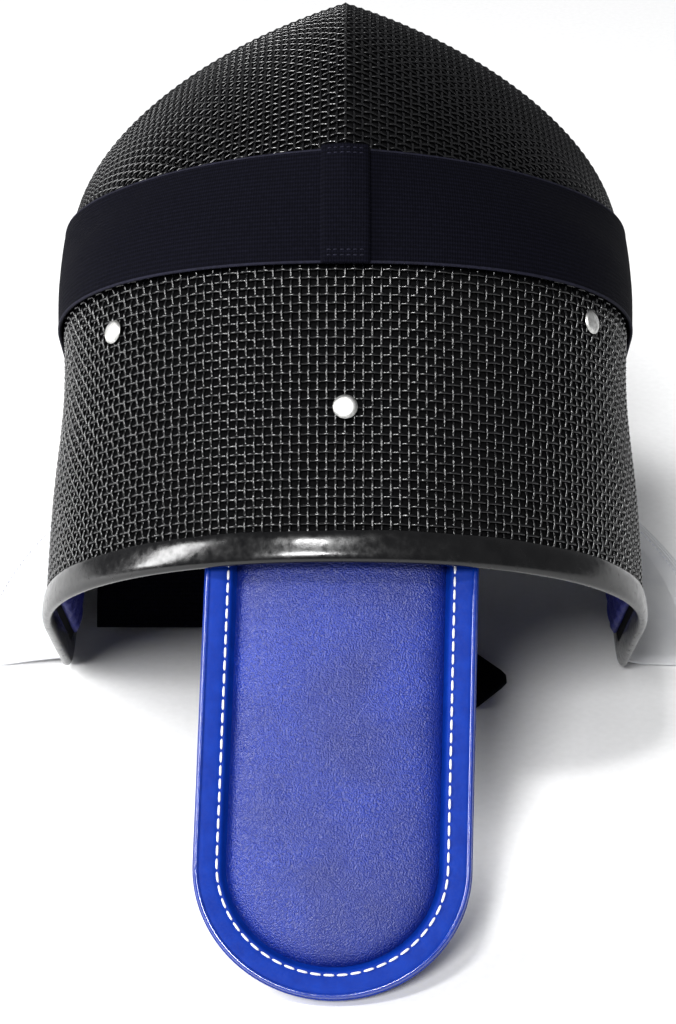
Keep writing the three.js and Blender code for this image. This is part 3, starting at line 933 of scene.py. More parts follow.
# ---- The elastic over the crown ----
@dataclass
class CrownElastic:
    """The wide elastic over the crown, its sewn tab and its stitches."""

    shell: Shell
    width: float = 43.0
    thick: float = 1.2
    clear: float = 0.6
    centre: float = 122.5
    leave: tuple[float, float] = (4.0, -75.0)
    arrive: tuple[float, float] = (14.0, 60.0)
    anchor: tuple[float, float] = (108.0, -18.0)
    tab_width: float = 17.0
    tab_thick: float = 2.0
    tab_overhang: float = 0.6
    gap: float = 0.3
    selvedge_radius: float = 0.55
    selvedge_inset: float = 0.35
    seam_insets: tuple[float, float] = (1.6, 3.6)
    dense: int = 400

    def lift(self, layers: float) -> float:
        """How far off the shell's middle surface a level of the band lies, in thicknesses of the band."""
        return self.shell.wall / 2 + self.clear + self.thick * layers

    def side_view(self, offset: float, count: int = 240) -> Array:
        """One lengthwise line in the side view, from the ridge down to its sewn end.

        Args:
            offset: how far toward the face the line lies from the strap's middle.
            count: how many points it has.
        Returns:
            The line's y and z.
        """
        shell = self.shell
        distance = shell.ridge_distance(self.centre)
        top, end = shell.ridge_at(distance)[0], np.array(self.anchor)
        share = np.linspace(0, 1, count) ** 2
        middle = bezier([top, top + self.leave, end + self.arrive, end], share)
        way = unit(np.gradient(middle, axis=0))
        line = middle + offset * np.column_stack([-way[:, 1], way[:, 0]])
        return line + (shell.ridge_at(distance + offset)[0] - line[0]) * ((1 - share) ** 3)[:, None]

    def band(self) -> Patch:
        """The band, thin at its edges.

        Returns:
            The band's wall.
        """
        across = self.width / 2 * np.sin(np.linspace(-np.pi / 2, np.pi / 2, 19))
        grid = np.stack([self.shell.full_line(self.side_view(w), 70, self.lift(0.5))[0] for w in across])
        return thick_cloth(grid, self.thick, grid_lay(grid), edge=0.5)

    def selvedge(self, sign: int) -> Patch:
        """The lighter cord that binds one edge of the band.

        Args:
            sign: 1 for the edge toward the face, -1 for the other.
        Returns:
            The cord.
        """
        edge = self.side_view(sign * (self.width / 2 - self.selvedge_inset))
        line, normal = self.shell.full_line(edge, 110, self.lift(0.75))
        return tube(line, normal, self.selvedge_radius, THREAD_SIDES)

    def tab(self) -> Patch:
        """The folded tab that holds the band at the crown.

        Returns:
            The tab's wall.
        """
        lift = self.lift(1) + self.gap + self.tab_thick / 2
        lines = []
        for w in (self.width / 2 + self.tab_overhang) * np.sin(np.linspace(-np.pi / 2, np.pi / 2, 17)):
            line, _ = self.shell.full_line(self.side_view(w), self.dense, lift)
            lines.append(even_steps(line[np.abs(line[:, 0]) <= self.tab_width / 2], 14))
        grid = np.stack(lines)
        return thick_cloth(grid, self.tab_thick, grid_lay(grid), edge=0.4)

    def tab_seams(self) -> Patch:
        """Two rows of stitches across each end of the tab.

        Returns:
            The stitches, joined.
        """
        lift = self.lift(1) + self.gap + self.tab_thick
        rows = []
        for inset in self.seam_insets:
            for sign in (-1, 1):
                seam = self.side_view(sign * (self.width / 2 - inset))
                line, normal = self.shell.full_line(seam, self.dense, lift)
                near = np.abs(line[:, 0]) <= self.tab_width / 2 - 1
                rows.append(stitches(line[near], normal[near], pitch=2.2, length=1.3, radius=0.28))
        return joined(rows)

    def build(self, shop: Workshop) -> None:
        """Args:
            shop: makes the pieces.
        """
        band = shop.piece("crown_elastic", self.band(), ELASTIC, ("elastic_strap",))
        edges = joined([self.selvedge(-1), self.selvedge(1)])
        edging = shop.piece("crown_elastic_selvedges", edges, SELVEDGE, ("elastic_strap",))
        tab = shop.piece("elastic_tab", self.tab(), ELASTIC, ("strap_tab",))
        seams = shop.piece("elastic_tab_stitches", self.tab_seams(), SELVEDGE, ("strap_tab",))


# ---- The wire cloth ----
@dataclass
class WireNet:
    """Crossings of a piece of wire cloth: points and normals by row and column, NaN outside the cut."""

    nodes: Array
    normals: Array

    def wires(self, thread: Thread, lift: float, radius: float, sides: int,
              keep: slice = slice(None)) -> Patch:
        """The wires of one set, waving over and under the others.

        Args:
            thread: which set.
            lift: how far a wire leaves the middle surface at a crossing.
            radius: the wire's radius.
            sides: how many sides a wire has.
            keep: which of the wires are made.
        Returns:
            The wires, joined.
        """
        nodes, normals = self.nodes, self.normals
        i, j = np.meshgrid(*[np.arange(n) for n in nodes.shape[:2]], indexing="ij")
        wave = thread.value * lift * (1 - 2 * ((i + j) % 2))
        if thread is Thread.WARP:
            nodes, normals, wave = nodes.swapaxes(0, 1), normals.swapaxes(0, 1), wave.T
        made = []
        for line, up, off in zip(nodes[keep], normals[keep], wave[keep]):
            whole = ~np.isnan(line[:, 0])
            for run in np.split(np.arange(len(line)), np.flatnonzero(np.diff(whole.astype(int))) + 1):
                if len(run) < 3 or not whole[run[0]]:
                    continue
                made.append(self.wire(line[run], up[run], off[run], radius, sides))
        return joined(made)

    @staticmethod
    def wire(line: Array, up: Array, off: Array, radius: float, sides: int) -> Patch:
        """One wire.

        Args:
            line: its crossings, (n, 3).
            up: the cloth's normal at each.
            off: how far the wire is off the middle surface at each.
            radius: the wire's radius.
            sides: how many sides it has.
        Returns:
            The wire.
        """
        size = 2 * len(line) - 1
        path, normal = np.empty((size, 3)), np.empty((size, 3))
        path[::2] = line + up * off[:, None]
        path[1::2] = (line[1:] + line[:-1]) / 2
        normal[::2] = up
        normal[1::2] = unit(up[1:] + up[:-1])
        return tube(path, normal, radius, sides)


@dataclass
class WireShell:
    """The shell's two pieces of wire cloth: bent over the crown, and drawn to a ridge over the face."""

    shell: Shell
    elastic: CrownElastic
    pitch: float = 3.0
    wire: float = 1.02
    lift: float = 0.46
    tuck: float = 7.0
    overlap: float = 2.0
    # the sheet of painted shade just inside the wires: how deep and how thick
    shade_sheet_depth: float = 1.2
    shade_sheet_thick: float = 0.3
    seam_run_on: float = 40.0
    edge_start: float = 0.4
    bend: float = 0.45
    sides: int = 5
    dense: int = 260
    # how many rows the sheet of painted shade has
    shade_sheet_rows: int = 90

    def seam(self) -> Array:
        """The line where the two cloths meet, in the side view: under the elastic and on to the jaw."""
        line = self.elastic.side_view(0)
        return np.concatenate([line, line[-1:] + unit(line[-1:] - line[-2:-1]) * self.seam_run_on])

    def seam_y(self, z: Array) -> Array:
        """The seam's y at a height."""
        line = self.seam()[::-1]
        return np.interp(z, line[:, 1], line[:, 0])

    def net(self, rows: list[Array], inside: Callable[[Array], Array]) -> WireNet:
        """Lays crossings at equal steps along rows, from the ridge outward on both sides.

        Args:
            rows: each row's side-view points from the ridge.
            inside: says which side-view points belong to the cloth.
        Returns:
            The crossings.
        """
        laid = []
        for row in rows:
            points, _ = self.shell.half_line(row)
            reach = np.arange(0, reach_of(points)[-1], self.pitch)
            side_view = at_reach(np.column_stack([points, row]), reach, 3)[:, 3:]
            point, normal = self.shell.half_line(side_view)
            point[~inside(side_view)] = np.nan
            laid.append((point, normal))
        most = max(len(p) for p, _ in laid)
        nodes = np.full((len(rows), 2 * most - 1, 3), np.nan)
        normals = np.zeros_like(nodes)
        for k, (point, normal) in enumerate(laid):
            size = len(point)
            for kept, values in ((nodes, point), (normals, normal)):
                kept[k, most - 1 : most - 1 + size] = values
                kept[k, most - size : most] = values[::-1] * MIRROR
        return WireNet(nodes, normals)

    def crown(self) -> WireNet:
        """The crown's cloth: straight rows parallel to the rear edge.

        Returns:
            The crossings.
        """
        dense = np.linspace(0, 1, self.dense) ** 2
        rows = []
        last = self.elastic.centre + self.overlap
        for y in np.arange(self.tuck, last, self.pitch):
            top = self.shell.ridge_at(self.shell.ridge_distance(y))[0]
            foot = np.array([y, self.shell.jaw(y, self.tuck)])
            rows.append(top + (foot - top) * dense[:, None])

        def inside(points: Array) -> Array:
            """Which side-view points lie behind the seam."""
            return points[:, 0] <= self.seam_y(points[:, 1]) + self.overlap

        return self.net(rows, inside)

    def face(self) -> WireNet:
        """The face's cloth: rows square to the ridge that bend back toward the seam and the jaw.

        Returns:
            The crossings.
        """
        shell = self.shell
        first = shell.ridge_distance(self.elastic.centre)
        distances = np.arange(first, shell.ridge_length - self.tuck, self.pitch)
        seam = self.seam()
        seam = seam[seam[:, 1] >= shell.jaw(seam[:, 0], self.tuck)]
        jaw_y = np.linspace(seam[-1, 0], RIDGE[-1, 0], 60)
        edge = np.concatenate([seam, np.column_stack([jaw_y, shell.jaw(jaw_y, self.tuck)])])
        length = reach_of(edge)[-1]
        ahead = shell.ridge_at(distances + 1) - shell.ridge_at(distances - 1)
        inward = unit(np.column_stack([ahead[:, 1], -ahead[:, 0]]))
        rows = []
        for k, start in enumerate(shell.ridge_at(distances)):
            share = k / (len(distances) - 1)
            end = at_reach(edge, np.array([(self.edge_start + (1 - self.edge_start) * share) * length]))[0]
            bend = start + inward[k] * self.bend * np.linalg.norm(end - start)
            rows.append(bezier([start, bend, end], np.linspace(0, 1, self.dense) ** 2))

        def inside(points: Array) -> Array:
            """Which side-view points lie before the seam and above the jaw."""
            before = points[:, 0] >= self.seam_y(points[:, 1]) - self.overlap
            return before & (points[:, 1] >= shell.jaw(points[:, 0], self.tuck))

        return self.net(rows, inside)

    def lining(self) -> Patch:
        """A thin black sheet just inside the wires: painted shade that stands for the dark inside of the mask
        and closes the view into it.

        Returns:
            The sheet's wall.
        """
        shell = self.shell
        rows = []
        dense = (np.linspace(0, 1, 200) ** 2)[:, None]
        chin_y = RIDGE[-1, 0]
        for share in np.linspace(0, 1, self.shade_sheet_rows):
            top = shell.ridge_at(self.tuck + share * (shell.ridge_length - 2 * self.tuck))[0]
            y = self.tuck + share * (chin_y - self.tuck)
            foot = np.array([y, shell.jaw(y, self.tuck)])
            rows.append(shell.full_line(top + (foot - top) * dense, 60, -self.shade_sheet_depth)[0])
        grid = np.stack(rows)
        return thick_cloth(grid, self.shade_sheet_thick, grid_lay(grid))

    def build(self, shop: Workshop) -> None:
        """Makes the wires of both cloths, each set in pieces of its own, and the black sheet of painted shade
        behind them.

        Args:
            shop: makes the pieces.
        """
        radius = self.wire / 2
        crown, face = self.crown(), self.face()
        half_rows, half_columns = len(face.nodes) // 2, face.nodes.shape[1] // 2
        parts = [
            ("crown_weft", crown, Thread.WEFT, slice(None), "crown_mesh"),
            ("crown_warp", crown, Thread.WARP, slice(None), "crown_mesh"),
            ("face_weft_upper", face, Thread.WEFT, slice(0, half_rows), "face_mesh"),
            ("face_weft_lower", face, Thread.WEFT, slice(half_rows, None), "face_mesh"),
            ("face_warp_left", face, Thread.WARP, slice(0, half_columns), "face_mesh"),
            ("face_warp_right", face, Thread.WARP, slice(half_columns, None), "face_mesh"),
        ]
        for name, net, thread, keep, node in parts:
            patch = net.wires(thread, self.lift, radius, self.sides, keep)
            shop.piece(name, patch, WIRE, (node,))
        # painted shade: the black sheet inside the wires, in place of the mask's dark inside
        shop.piece("shell_shade_sheet", self.lining(), SHADE_SHEET, ("crown_mesh", "face_mesh"))


# ---- The vinyl edging ----
@dataclass
class Edging:
    """The vinyl channel that covers the shell's cut edge all round the opening."""

    shell: Shell
    width: float = 11.0
    thick: float = 4.4
    corner: float = 14.0
    wave: float = 0.22
    rear_steps: int = 64
    corner_steps: int = 11
    jaw_steps: int = 56

    def stations(self) -> tuple[Array, Array]:
        """The right half of the edge, from the crown round the jaw corner to the chin.

        Returns:
            The outer edge's points, and the points one width inside it.
        """
        shell, slope = self.shell, self.shell.edge_slope
        tilt = math.atan(slope)
        centre = np.array([self.corner, self.corner * (math.hypot(1, slope) - slope)])
        dense = (np.linspace(0, 1, 300) ** 2)[:, None]
        rear = np.array([0, RIDGE[0, 1]]) + (centre * [0, 1] - [0, RIDGE[0, 1]]) * dense
        outer = even_steps(np.column_stack([shell.half_line(rear)[0], rear]), self.rear_steps)[:, 3:]
        inner = outer + [self.width, 0]
        inner[0] = shell.ridge_at(self.width)[0]
        turn = np.pi + np.linspace(0, np.pi / 2 - tilt, self.corner_steps + 1)[1:-1]
        way = np.column_stack([np.cos(turn), np.sin(turn)])
        down = np.array([math.sin(tilt), math.cos(tilt)])
        low_end, high_end = centre - self.corner * down, centre - (self.corner - self.width) * down
        low = RIDGE[-1] + (low_end - RIDGE[-1]) * dense
        chin = shell.ridge_at(shell.ridge_length - self.width)[0]
        high = chin + (high_end - chin) * dense
        low = even_steps(np.column_stack([shell.half_line(low)[0], low]), self.jaw_steps)[::-1, 3:]
        high = even_steps(np.column_stack([shell.half_line(high)[0], high]), self.jaw_steps)[::-1, 3:]
        outer = np.concatenate([outer, centre + self.corner * way, low])
        inner = np.concatenate([inner, centre + (self.corner - self.width) * way, high])
        edge, _ = shell.surface(outer)
        inside, _ = shell.surface(inner)
        for points in (edge, inside):
            points[[0, -1], 0] = 0
        return edge, inside

    def loop(self) -> tuple[Array, Array]:
        """The whole edge as a closed loop of outer and inner points."""
        edge, inside = [np.concatenate([p, p[-2:0:-1] * MIRROR]) for p in self.stations()]
        return edge, inside

    def channel(self) -> Patch:
        """The channel's body: thick at its fold, thinner at its two lips, with slight waves from its sewing.

        Returns:
            The channel.
        """
        edge, inside = self.loop()
        along = np.roll(edge, -1, 0) - np.roll(edge, 1, 0)
        across = inside - edge
        normal = unit(np.cross(along, across))
        reach = reach_of(edge)
        width = np.linalg.norm(across, axis=1)
        wave = self.wave * np.sin(reach / 9.0) * np.sin(reach / 23.0 + 1)
        section = rounded_section(1.0, self.thick, taper=0.75, count=26, square=0.7, flat=0.85)
        sections = edge[:, None] + unit(across)[:, None] * (section[:, 0] * (width + wave)[:, None])[..., None]
        sections = sections + normal[:, None] * section[None, :, 1, None]
        return loft(sections, True)

    def build(self, shop: Workshop) -> None:
        """Makes the edging."""
        shop.piece("vinyl_edging", self.channel(), VINYL, ("edge_trim",))


# ---- The rivets ----
@dataclass
class Rivets:
    """The pan-head rivets through the wire cloth."""

    shell: Shell
    head: float = 4.1
    rise: float = 1.3
    seat: float = 1.3
    brim: float = 0.42
    shank: float = 1.9
    tip: float = 0.02
    sides: int = 40
    places: tuple[tuple[str, int, float, float], ...] = (
        ("rivet_center", 0, 51.8, 190.5),
        ("rivet_left", -1, 86.5, 160.5),
        ("rivet_right", 1, 92.0, 154.5),
    )

    def head_patch(self, point: Array, normal: Array) -> Patch:
        """A turned head with a flat brim and a low dome.

        Args:
            point: where the rivet's axis meets the shell.
            normal: the axis.
        Returns:
            The head and a short shank.
        """
        dome = np.linspace(0, np.pi / 2, 9)
        below = [self.tip, self.shank, self.shank, self.head - 0.1, self.head]
        radii = np.concatenate([below, self.head * 0.93 * np.cos(dome) ** 0.5])
        above = self.brim + (self.rise - self.brim) * np.sin(dome)
        heights = np.concatenate([[-1, -1, 0, 0, 0.3], above]) + self.seat
        radii[-1] = self.tip
        side = unit(np.cross(normal, [0.0, 1.0, 0.31]))
        other = np.cross(normal, side)
        turn = np.arange(self.sides) * 2 * np.pi / self.sides
        ring = np.cos(turn)[:, None] * side + np.sin(turn)[:, None] * other
        sections = point + radii[:, None, None] * ring + heights[:, None, None] * normal
        return loft(sections, False)

    def build(self, shop: Workshop) -> None:
        """Makes the three rivets.

        Args:
            shop: makes the pieces.
        """
        for name, side, y, z in self.places:
            where = np.array([[y, z]]) if side else self.shell.ridge_at(self.shell.ridge_distance(y))
            point, normal = self.shell.surface(where)
            flip = np.array([side, 1, 1])
            head = self.head_patch(point[0] * flip, unit(normal * flip)[0])
            shop.piece(name + "_head", head, NICKEL, (name,))


# ---- The tongue ----
@dataclass
class Tongue:
    """The padded spring tongue: a bound flat border with a seam, a groove and a crowned pad."""

    shell: Shell
    width: float = 90.0
    inside: float = 70.0
    outside: float = 139.0
    thick: float = 8.0
    drop: float = 11.4
    tilt_deg: float = 0.5
    yaw_deg: float = -1.7
    shift: float = 1.0
    end_share: float = 0.94
    border: float = 10.4
    shoulder: float = 3.7
    seam_inset: float = 7.9
    seam_height: float = -1.35
    piping_inset: float = 1.3
    piping_height: float = -1.55
    piping_radius: float = 0.85
    underside: float = -8.0
    pad_underside: float = -7.6
    pad_middle: float = 44.0
    side_points: int = 60
    end_points: int = 81
    back_points: int = 26

    @property
    def seen(self) -> int:
        """How many points of an outline go along the sides and round the visible end."""
        return 2 * self.side_points + self.end_points

    def outline(self, inset: float) -> Array:
        """The outline moved in, as points that go round from one corner of the hidden end.

        Args:
            inset: how far in.
        Returns:
            The points' x and y in the tongue's own plane.
        """
        half, length = self.width / 2 - inset, self.inside + self.outside - inset
        arc = half * self.end_share
        side = np.linspace(inset, length - arc, self.side_points + 1)[:-1]
        turn = np.linspace(-np.pi / 2, np.pi / 2, self.end_points)
        end = np.column_stack([length - arc + arc * np.cos(turn), half * np.sin(turn)])
        back = np.linspace(half, -half, self.back_points + 2)[1:-1]
        left = np.column_stack([side, np.full_like(side, -half)])
        right = np.column_stack([side[::-1], np.full_like(side, half)])
        return np.concatenate([left, end, right, np.column_stack([np.full_like(back, inset), back])])

    def place(self, flat: Array) -> Array:
        """Turns points of the tongue's own frame into the mask's frame.

        Args:
            flat: the points, (..., 3).
        Returns:
            The points in the mask's frame.
        """
        tilt, turn = math.radians(self.tilt_deg), math.radians(self.yaw_deg) - math.pi / 2
        x = flat[..., 0] * math.cos(tilt) + flat[..., 2] * math.sin(tilt)
        z = flat[..., 2] * math.cos(tilt) - flat[..., 0] * math.sin(tilt)
        y = flat[..., 1]
        turned = [x * math.cos(turn) - y * math.sin(turn), x * math.sin(turn) + y * math.cos(turn), z]
        return np.stack(turned, -1) + [self.shift, self.inside, RIDGE[0, 1] - self.drop]

    def rings(self, levels: list[tuple[float, float]]) -> Array:
        """Outlines at insets and heights, (levels, points, 3), in the tongue's own frame."""
        return np.stack([np.insert(self.outline(inset), 2, height, axis=1) for inset, height in levels])

    def border_patch(self) -> Patch:
        """The bound border: a rolled edge outside a flat strip that the seam pulls in.

        Returns:
            The border.
        """
        top = [(self.border + 0.8, -5.4), (self.border, -4.6), (9.6, -2.8), (9.0, -1.6), (8.5, -1.4),
               (7.9, -1.6), (7.3, -1.35), (6.2, -1.2), (4.6, -1.15), (3.4, -1.1), (2.4, -1.1), (1.4, -1.3),
               (0.7, -1.7), (0.25, -2.4), (0.0, -3.5)]
        low = [(0.1, -5.2), (0.7, -6.7), (1.8, -7.6), (3.4, self.underside),
               (self.border + 0.8, self.underside)]
        return loft(self.place(self.rings(top + low)).swapaxes(0, 1), True)

    def pad_patch(self) -> Patch:
        """The crowned pad: it rises steeply from the groove and swells over its middle.

        Returns:
            The pad, closed by a cap at its underside and one over its top.
        """
        low = [(inset, self.pad_underside) for inset in (self.pad_middle, 30.0, self.border + 1.4)]
        rise = [(self.border - 0.1, -6.4), (self.border - 0.2, -5.8)]
        crown = []
        slope = np.linspace(self.border, 20, 14)
        for inset in [*slope, 21.5, 23.5, 26.5, 31.0, 36.0, 41.0, self.pad_middle]:
            swell = 1 - math.exp(-(inset - self.border) / self.shoulder)
            lift = math.sin((inset - self.border) / (self.pad_middle - self.border) * math.pi / 2)
            crown.append((inset, -5.3 + 5.4 * swell + 1.6 * lift))
        rings = self.rings(low + rise + crown)
        count, size = rings.shape[:2]
        patch = loft(self.place(rings), False)
        walls = patch.faces[: 2 * (count - 1) * size]
        under, over = self.cap(size), self.cap(size)[:, ::-1] + (count - 1) * size
        return Patch(patch.points, np.concatenate([walls, under, over]), patch.lay)

    def cap(self, size: int) -> Array:
        """Triangles that close an outline, in strips from side to side.

        Args:
            size: how many points the outline has.
        Returns:
            The triangles' corner numbers, facing down.
        """
        last = self.seen - 1
        left = np.arange(last // 2)
        right = last - left
        quads = np.stack([left, left + 1, right - 1, right], 1)[:-1]
        ends = np.concatenate([[0], np.arange(size - 1, last, -1), [last]])
        fan = np.stack([np.zeros(len(ends) - 2, int), ends[1:-1], ends[2:]], 1)
        return np.concatenate([halves(quads), fan])

    def seen_line(self, inset: float, height: float) -> tuple[Array, Array]:
        """A line along the sides and round the visible end.

        Args:
            inset: how far in from the outer edge it lies.
            height: how high over the tongue's own plane.
        Returns:
            Its points and the tongue's normal, in the mask's frame.
        """
        line = self.place(np.insert(self.outline(inset)[: self.seen], 2, height, axis=1))
        up = self.place(np.array([[0, 0, 1.0]])) - self.place(np.zeros((1, 3)))
        return line, np.broadcast_to(up, line.shape)

    def seam(self) -> Patch:
        """The white seam that follows the border round the visible end."""
        line, up = self.seen_line(self.seam_inset, self.seam_height)
        return stitches(line, up, pitch=4.3, length=3.3, radius=0.4)

    def piping(self) -> Patch:
        """The rolled cord just inside the outer edge, which draws one thin line of light."""
        line, up = self.seen_line(self.piping_inset, self.piping_height)
        return tube(line, up, self.piping_radius, 12)

    def build(self, shop: Workshop) -> None:
        """Args:
            shop: makes the pieces.
        """
        slot, binding = "tongue_leather", ("tongue_binding",)
        border = shop.piece("tongue_border", self.border_patch(), EDGE_LEATHERETTE, binding)
        pad = shop.piece("tongue_cushion", self.pad_patch(), PAD_LEATHERETTE, ("tongue_pad",))
        shop.piece("tongue_stitches", self.seam(), THREAD, binding)
        shop.piece("tongue_piping", self.piping(), PIPING, binding)


# ---- The bib ----
@dataclass
class Bib:
    """The white bib, spread on the table behind the jaws, with its bound hem."""

    shell: Shell
    edging: Edging
    thick: float = 3.0
    half: float = 146.0
    back: float = 232.0
    lip: float = 14.0
    tape_width: float = 5.0
    tape_tuck: float = 3.0
    tape_lap: float = 2.4
    fold: float = 3.4
    folds: float = 5.5

    def columns(self) -> tuple[Array, Array]:
        """Where the bib is sewn on, in the row frame.

        Returns:
            Points just inside the jaw edge, and the directions in which the bib leaves them.
        """
        edge, inside = self.edging.loop()
        step = inside - edge
        jaw = step[:, 2] > np.abs(step[:, 1])
        edge, step = edge[jaw], unit(-step[jaw])
        order = np.argsort(np.arctan2(edge[:, 0], edge[:, 1]))
        edge, step = edge[order], step[order]
        top = self.shell.place(edge - step * 0.8)
        return top, self.shell.place(edge + step) - self.shell.place(edge)

    def grid(self) -> Array:
        """The cloth's middle surface from the jaw to the hem, with its soft folds.

        Returns:
            The points, (rows, columns, 3).
        """
        top, down = self.columns()
        count = len(top)
        turn = np.pi * np.arange(count) / (count - 1)
        floor = self.thick / 2
        hem_y = top[0, 1] + self.back * np.sin(turn)
        hem = np.column_stack([-self.half * np.cos(turn), hem_y, np.full(count, floor)])
        inward = unit((top - hem) * [1, 1, 0])
        lip = hem + inward * self.lip
        reach = np.linalg.norm(top - lip, axis=1)[:, None]
        leave = top + down * 0.3 * reach
        leave[:, 2] = np.maximum(leave[:, 2], top[:, 2] + (floor - top[:, 2]) * 0.6)
        arrive = lip + inward * 0.3 * reach
        share = np.linspace(0, 1, 25)[:, None, None]
        cubic = (1 - share) ** 3 * top + 3 * (1 - share) ** 2 * share * leave
        cubic = cubic + 3 * (1 - share) * share**2 * arrive + share**3 * lip
        tail = [hem + (lip - hem) * s for s in (0.75, 0.5, 0.25, 0.08, 0.0)]
        grid = np.concatenate([cubic, np.stack(tail)])
        return self.folded(grid, turn)

    def folded(self, grid: Array, turn: Array) -> Array:
        """Lays folds that run out from the jaw and die away at the hem.

        Args:
            grid: the smooth cloth's points.
            turn: each column's place round the hem, from 0 to pi.
        Returns:
            The folded cloth's points.
        """
        rows = len(grid)
        swell = np.abs(np.sin(np.pi * np.clip(np.linspace(0, 1.18, rows), 0, 1)))[:, None] ** 1.3
        ripple = np.sin(turn * self.folds * 2 + 0.6 * np.sin(3 * turn)) * np.maximum(np.sin(turn), 0) ** 0.5
        ripple = ripple + 0.35 * np.sin(turn * 23 + 1.0)
        grid = grid.copy()
        grid[..., 2] = np.maximum(grid[..., 2] + swell * ripple * self.fold, self.thick / 2)
        return grid

    def tape(self, hem: Array) -> Patch:
        """The bound edge that laps over the hem.

        Args:
            hem: the hem's points, (n, 3).
        Returns:
            The tape.
        """
        along = np.gradient(hem, axis=0)
        out = unit(np.column_stack([along[:, 1], -along[:, 0], np.zeros(len(hem))]))
        section = rounded_section(self.tape_width + self.tape_tuck, self.thick, taper=0.8)
        sections = hem[:, None] - out[:, None] * self.tape_lap + out[:, None] * section[None, :, :1]
        sections[..., 2] = self.thick / 2 + section[None, :, 1]
        return loft(sections, False)

    def build(self, shop: Workshop) -> None:
        """Args:
            shop: makes the pieces.
        """
        grid = self.grid()
        wall = thick_cloth(grid, self.thick, grid_lay(grid))
        cloth = shop.piece("bib_cloth", wall, TWILL, ("bib",), True)
        tape = shop.piece("bib_hem_tape", self.tape(grid[-1]), TAPE, ("bib_binding",), True)
        line = grid[-3] + [0, 0, self.thick / 2]
        up = np.broadcast_to(np.array([0.0, 0, 1]), line.shape)
        sewn = stitches(line, up, pitch=4.0, length=2.9, radius=0.3)
        seam = shop.piece("bib_stitches", sewn, THREAD, ("bib",), True)


# ---- The loose strap and the linings ----
@dataclass
class LooseStrap:
    """The black fastening strap: it stands in the left jaw, turns over and ends in a point on the table."""

    left: tuple[float, float, float] = (-98.0, 32.0, 22.5)
    right: tuple[float, float, float] = (62.0, -17.0, 1.3)
    stand: tuple[float, float] = (0.5, 0.86)
    width: float = 44.0
    thick: float = 2.0
    point: float = 14.0
    blunt: float = 0.12
    turn_start: float = 0.28
    turn_length: float = 0.5
    steps: int = 90

    def grid(self) -> Array:
        """The strap's middle surface from the jaw to its point.

        Returns:
            The points, (rows, columns, 3).
        """
        share = np.linspace(0, 1, self.steps)
        turn = smooth((share - self.turn_start) / self.turn_length)[:, None]
        left, right = np.array(self.left), np.array(self.right)
        centre = left + (right - left) * np.column_stack([share, turn, turn])
        x = centre[:, 0]
        stand, lie = np.array([0, *self.stand]), np.array([0, 1, 0])
        across = unit(stand + (lie - stand) * turn)
        half = self.width / 2 * np.minimum(1, self.blunt + (self.right[0] - x) / self.point)
        side = np.sin(np.linspace(-np.pi / 2, np.pi / 2, 13))
        return centre[None] + side[:, None, None] * (across * half[:, None])[None]

    def build(self, shop: Workshop) -> None:
        """Args:
            shop: makes the pieces.
        """
        grid = self.grid()
        patch = thick_cloth(grid, self.thick, grid_lay(grid))
        strap = shop.piece("loose_strap", patch, ELASTIC, ("fastening_strap",), True)


@dataclass
class CheekLinings:
    """The quilted linings inside both jaws."""

    shell: Shell
    front: float = 12.9
    back: float = 58.0
    top: float = 88.0
    inset: float = 13.0
    thick: float = 2.4
    clear: float = 1.3
    quilt: float = 15.0
    swell: float = 1.2
    rows: int = 49
    columns: int = 25

    def patch(self, side: Side) -> Patch:
        """One lining, its inner face swelling between sewn lines.

        Args:
            side: which side it is on.
        Returns:
            The lining's wall.
        """
        y = np.linspace(self.front, self.back, self.columns)
        share = np.linspace(0, 1, self.rows)
        low = self.shell.jaw(y, self.inset)
        z = low[None] + (self.top - low[None]) * share[:, None]
        side_view = np.stack([np.broadcast_to(y, z.shape), z], -1)
        points, normal = self.shell.surface(side_view.reshape(-1, 2))
        flip = np.array([side.value, 1, 1])
        grid = (points - normal * (self.clear + self.thick / 2)) * flip
        grid = grid.reshape(self.rows, self.columns, 3)
        if side is Side.RIGHT:
            grid = grid[:, ::-1]
        lay = grid_lay(grid)
        swell = np.abs(np.sin(np.pi * (lay[..., 0] + lay[..., 1]) / self.quilt))
        swell = swell * np.abs(np.sin(np.pi * (lay[..., 0] - lay[..., 1]) / self.quilt))
        return thick_cloth(grid, self.thick, lay, puff=self.swell * swell**0.5)

    def build(self, shop: Workshop) -> None:
        """Makes both linings.

        Args:
            shop: makes the pieces.
        """
        for side in Side:
            name = side.name.lower()
            node = (f"cheek_lining_{name}",)
            made = shop.piece(f"quilted_lining_{name}", self.patch(side), LINING, node)


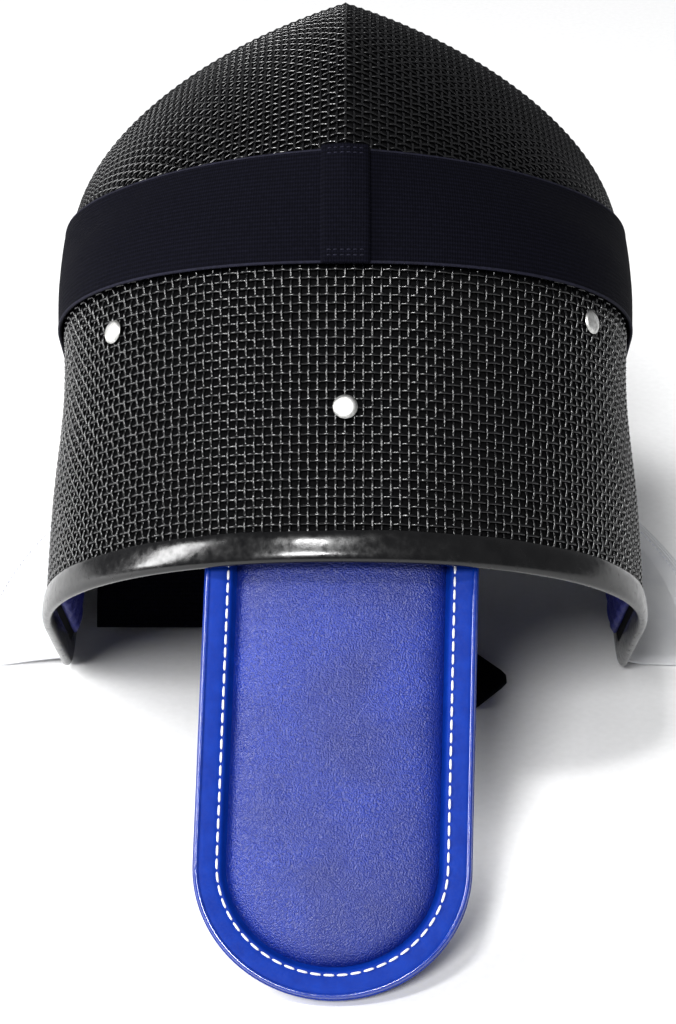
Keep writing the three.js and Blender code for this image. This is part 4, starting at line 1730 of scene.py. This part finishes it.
# ---- The studio ----
@dataclass
class Studio:
    """Floor, camera and lights."""

    distance: float = 0.95
    elevation_deg: float = 25.5
    azimuth_deg: float = 0.15
    aim: tuple[float, float, float] = (-0.0023, 0.0035, 0.0043)
    lens: float = 103.0
    target_rise: float = 0.007
    sensor: float = 36.0
    floor_half: float = 4.0
    sun_way: tuple[float, float, float] = (0.32, 1.3, -1.0)
    sun_power: float = 2.8
    sun_angle_deg: float = 14.0
    sky: str = "#f7f8fb"
    sky_strength: float = 0.24

    def camera(self) -> None:
        """Looks from in front of the tongue at the middle of the crown's edge."""
        low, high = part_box("edge_trim")
        target = Vector((0, low.y + self.target_rise, high.z)) + Vector(self.aim)
        up, swing = math.radians(self.elevation_deg), math.radians(self.azimuth_deg)
        away = Vector((math.sin(swing) * math.cos(up), -math.cos(swing) * math.cos(up), math.sin(up)))
        data = bpy.data.cameras.new("camera")
        data.lens = self.lens
        data.sensor_width = self.sensor
        made = bpy.data.objects.new("camera", data)
        bpy.context.scene.collection.objects.link(made)
        made.location = target + away * self.distance
        made.rotation_mode = "QUATERNION"
        made.rotation_quaternion = (-away).to_track_quat("-Z", "Y")
        bpy.context.scene.camera = made

    def floor(self) -> None:
        """A wide sheet of pale paper."""
        mesh = bpy.data.meshes.new("studio_floor")
        far = self.floor_half
        corners = [(-far, -far, 0), (far, -far, 0), (far, far, 0), (-far, far, 0)]
        mesh.from_pydata(corners, [], [(0, 1, 2, 3)])
        made = bpy.data.objects.new("studio_floor", mesh)
        bpy.context.scene.collection.objects.link(made)
        mesh.materials.append(PAPER.material())

    def softbox(self, name: str, place: tuple[float, float, float], size: tuple[float, float],
                power: float) -> None:
        """One rectangular light that faces the mask.

        Args:
            name: the light's name.
            place: where it stands, in metres.
            size: its width and height.
            power: its power in watts.
        """
        data = bpy.data.lights.new(name, "AREA")
        data.shape = "RECTANGLE"
        data.size, data.size_y = size
        data.energy = power
        made = bpy.data.objects.new(name, data)
        bpy.context.scene.collection.objects.link(made)
        made.location = place
        made.rotation_mode = "QUATERNION"
        made.rotation_quaternion = (Vector((0, 0, 0.1)) - Vector(place)).to_track_quat("-Z", "Y")

    def sun(self) -> None:
        """The key light from behind the camera and a little left, whose soft shadows fall to the right."""
        data = bpy.data.lights.new("key_sun", "SUN")
        data.energy = self.sun_power
        data.angle = math.radians(self.sun_angle_deg)
        made = bpy.data.objects.new("key_sun", data)
        bpy.context.scene.collection.objects.link(made)
        made.rotation_mode = "QUATERNION"
        made.rotation_quaternion = Vector(self.sun_way).to_track_quat("-Z", "Y")

    def lights(self) -> None:
        """An even sky, the sun, a small crisp light for the wires and a panel at the left."""
        world = bpy.data.worlds.new("studio")
        bpy.context.scene.world = world
        world.use_nodes = True
        background = next(n for n in world.node_tree.nodes if n.type == "BACKGROUND")
        background.inputs[0].default_value = linear(self.sky)
        background.inputs[1].default_value = self.sky_strength
        self.sun()
        self.softbox("crisp_light", place=(-0.25, -0.9, 1.5), size=(0.2, 0.16), power=12)
        self.softbox("side_panel", place=(-1.2, -0.3, 0.7), size=(0.35, 0.8), power=20)
        bpy.context.scene.view_settings.view_transform = "Standard"

    def build(self) -> None:
        """Sets up the studio."""
        self.floor()
        self.camera()
        self.lights()


def main() -> None:
    """Builds the mask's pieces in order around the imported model, and reports them."""
    logging.basicConfig(level=logging.INFO, format="%(name)s: %(message)s")
    Studio().build()
    shell = Shell()
    shop = Workshop(shell)
    elastic = CrownElastic(shell)
    edging = Edging(shell)
    WireShell(shell, elastic).build(shop)
    edging.build(shop)
    elastic.build(shop)
    Rivets(shell).build(shop)
    Tongue(shell).build(shop)
    Bib(shell, edging).build(shop)
    LooseStrap().build(shop)
    CheekLinings(shell).build(shop)
    log.info("%d triangles in all", shop.triangles)


if __name__ == "__main__":
    main()
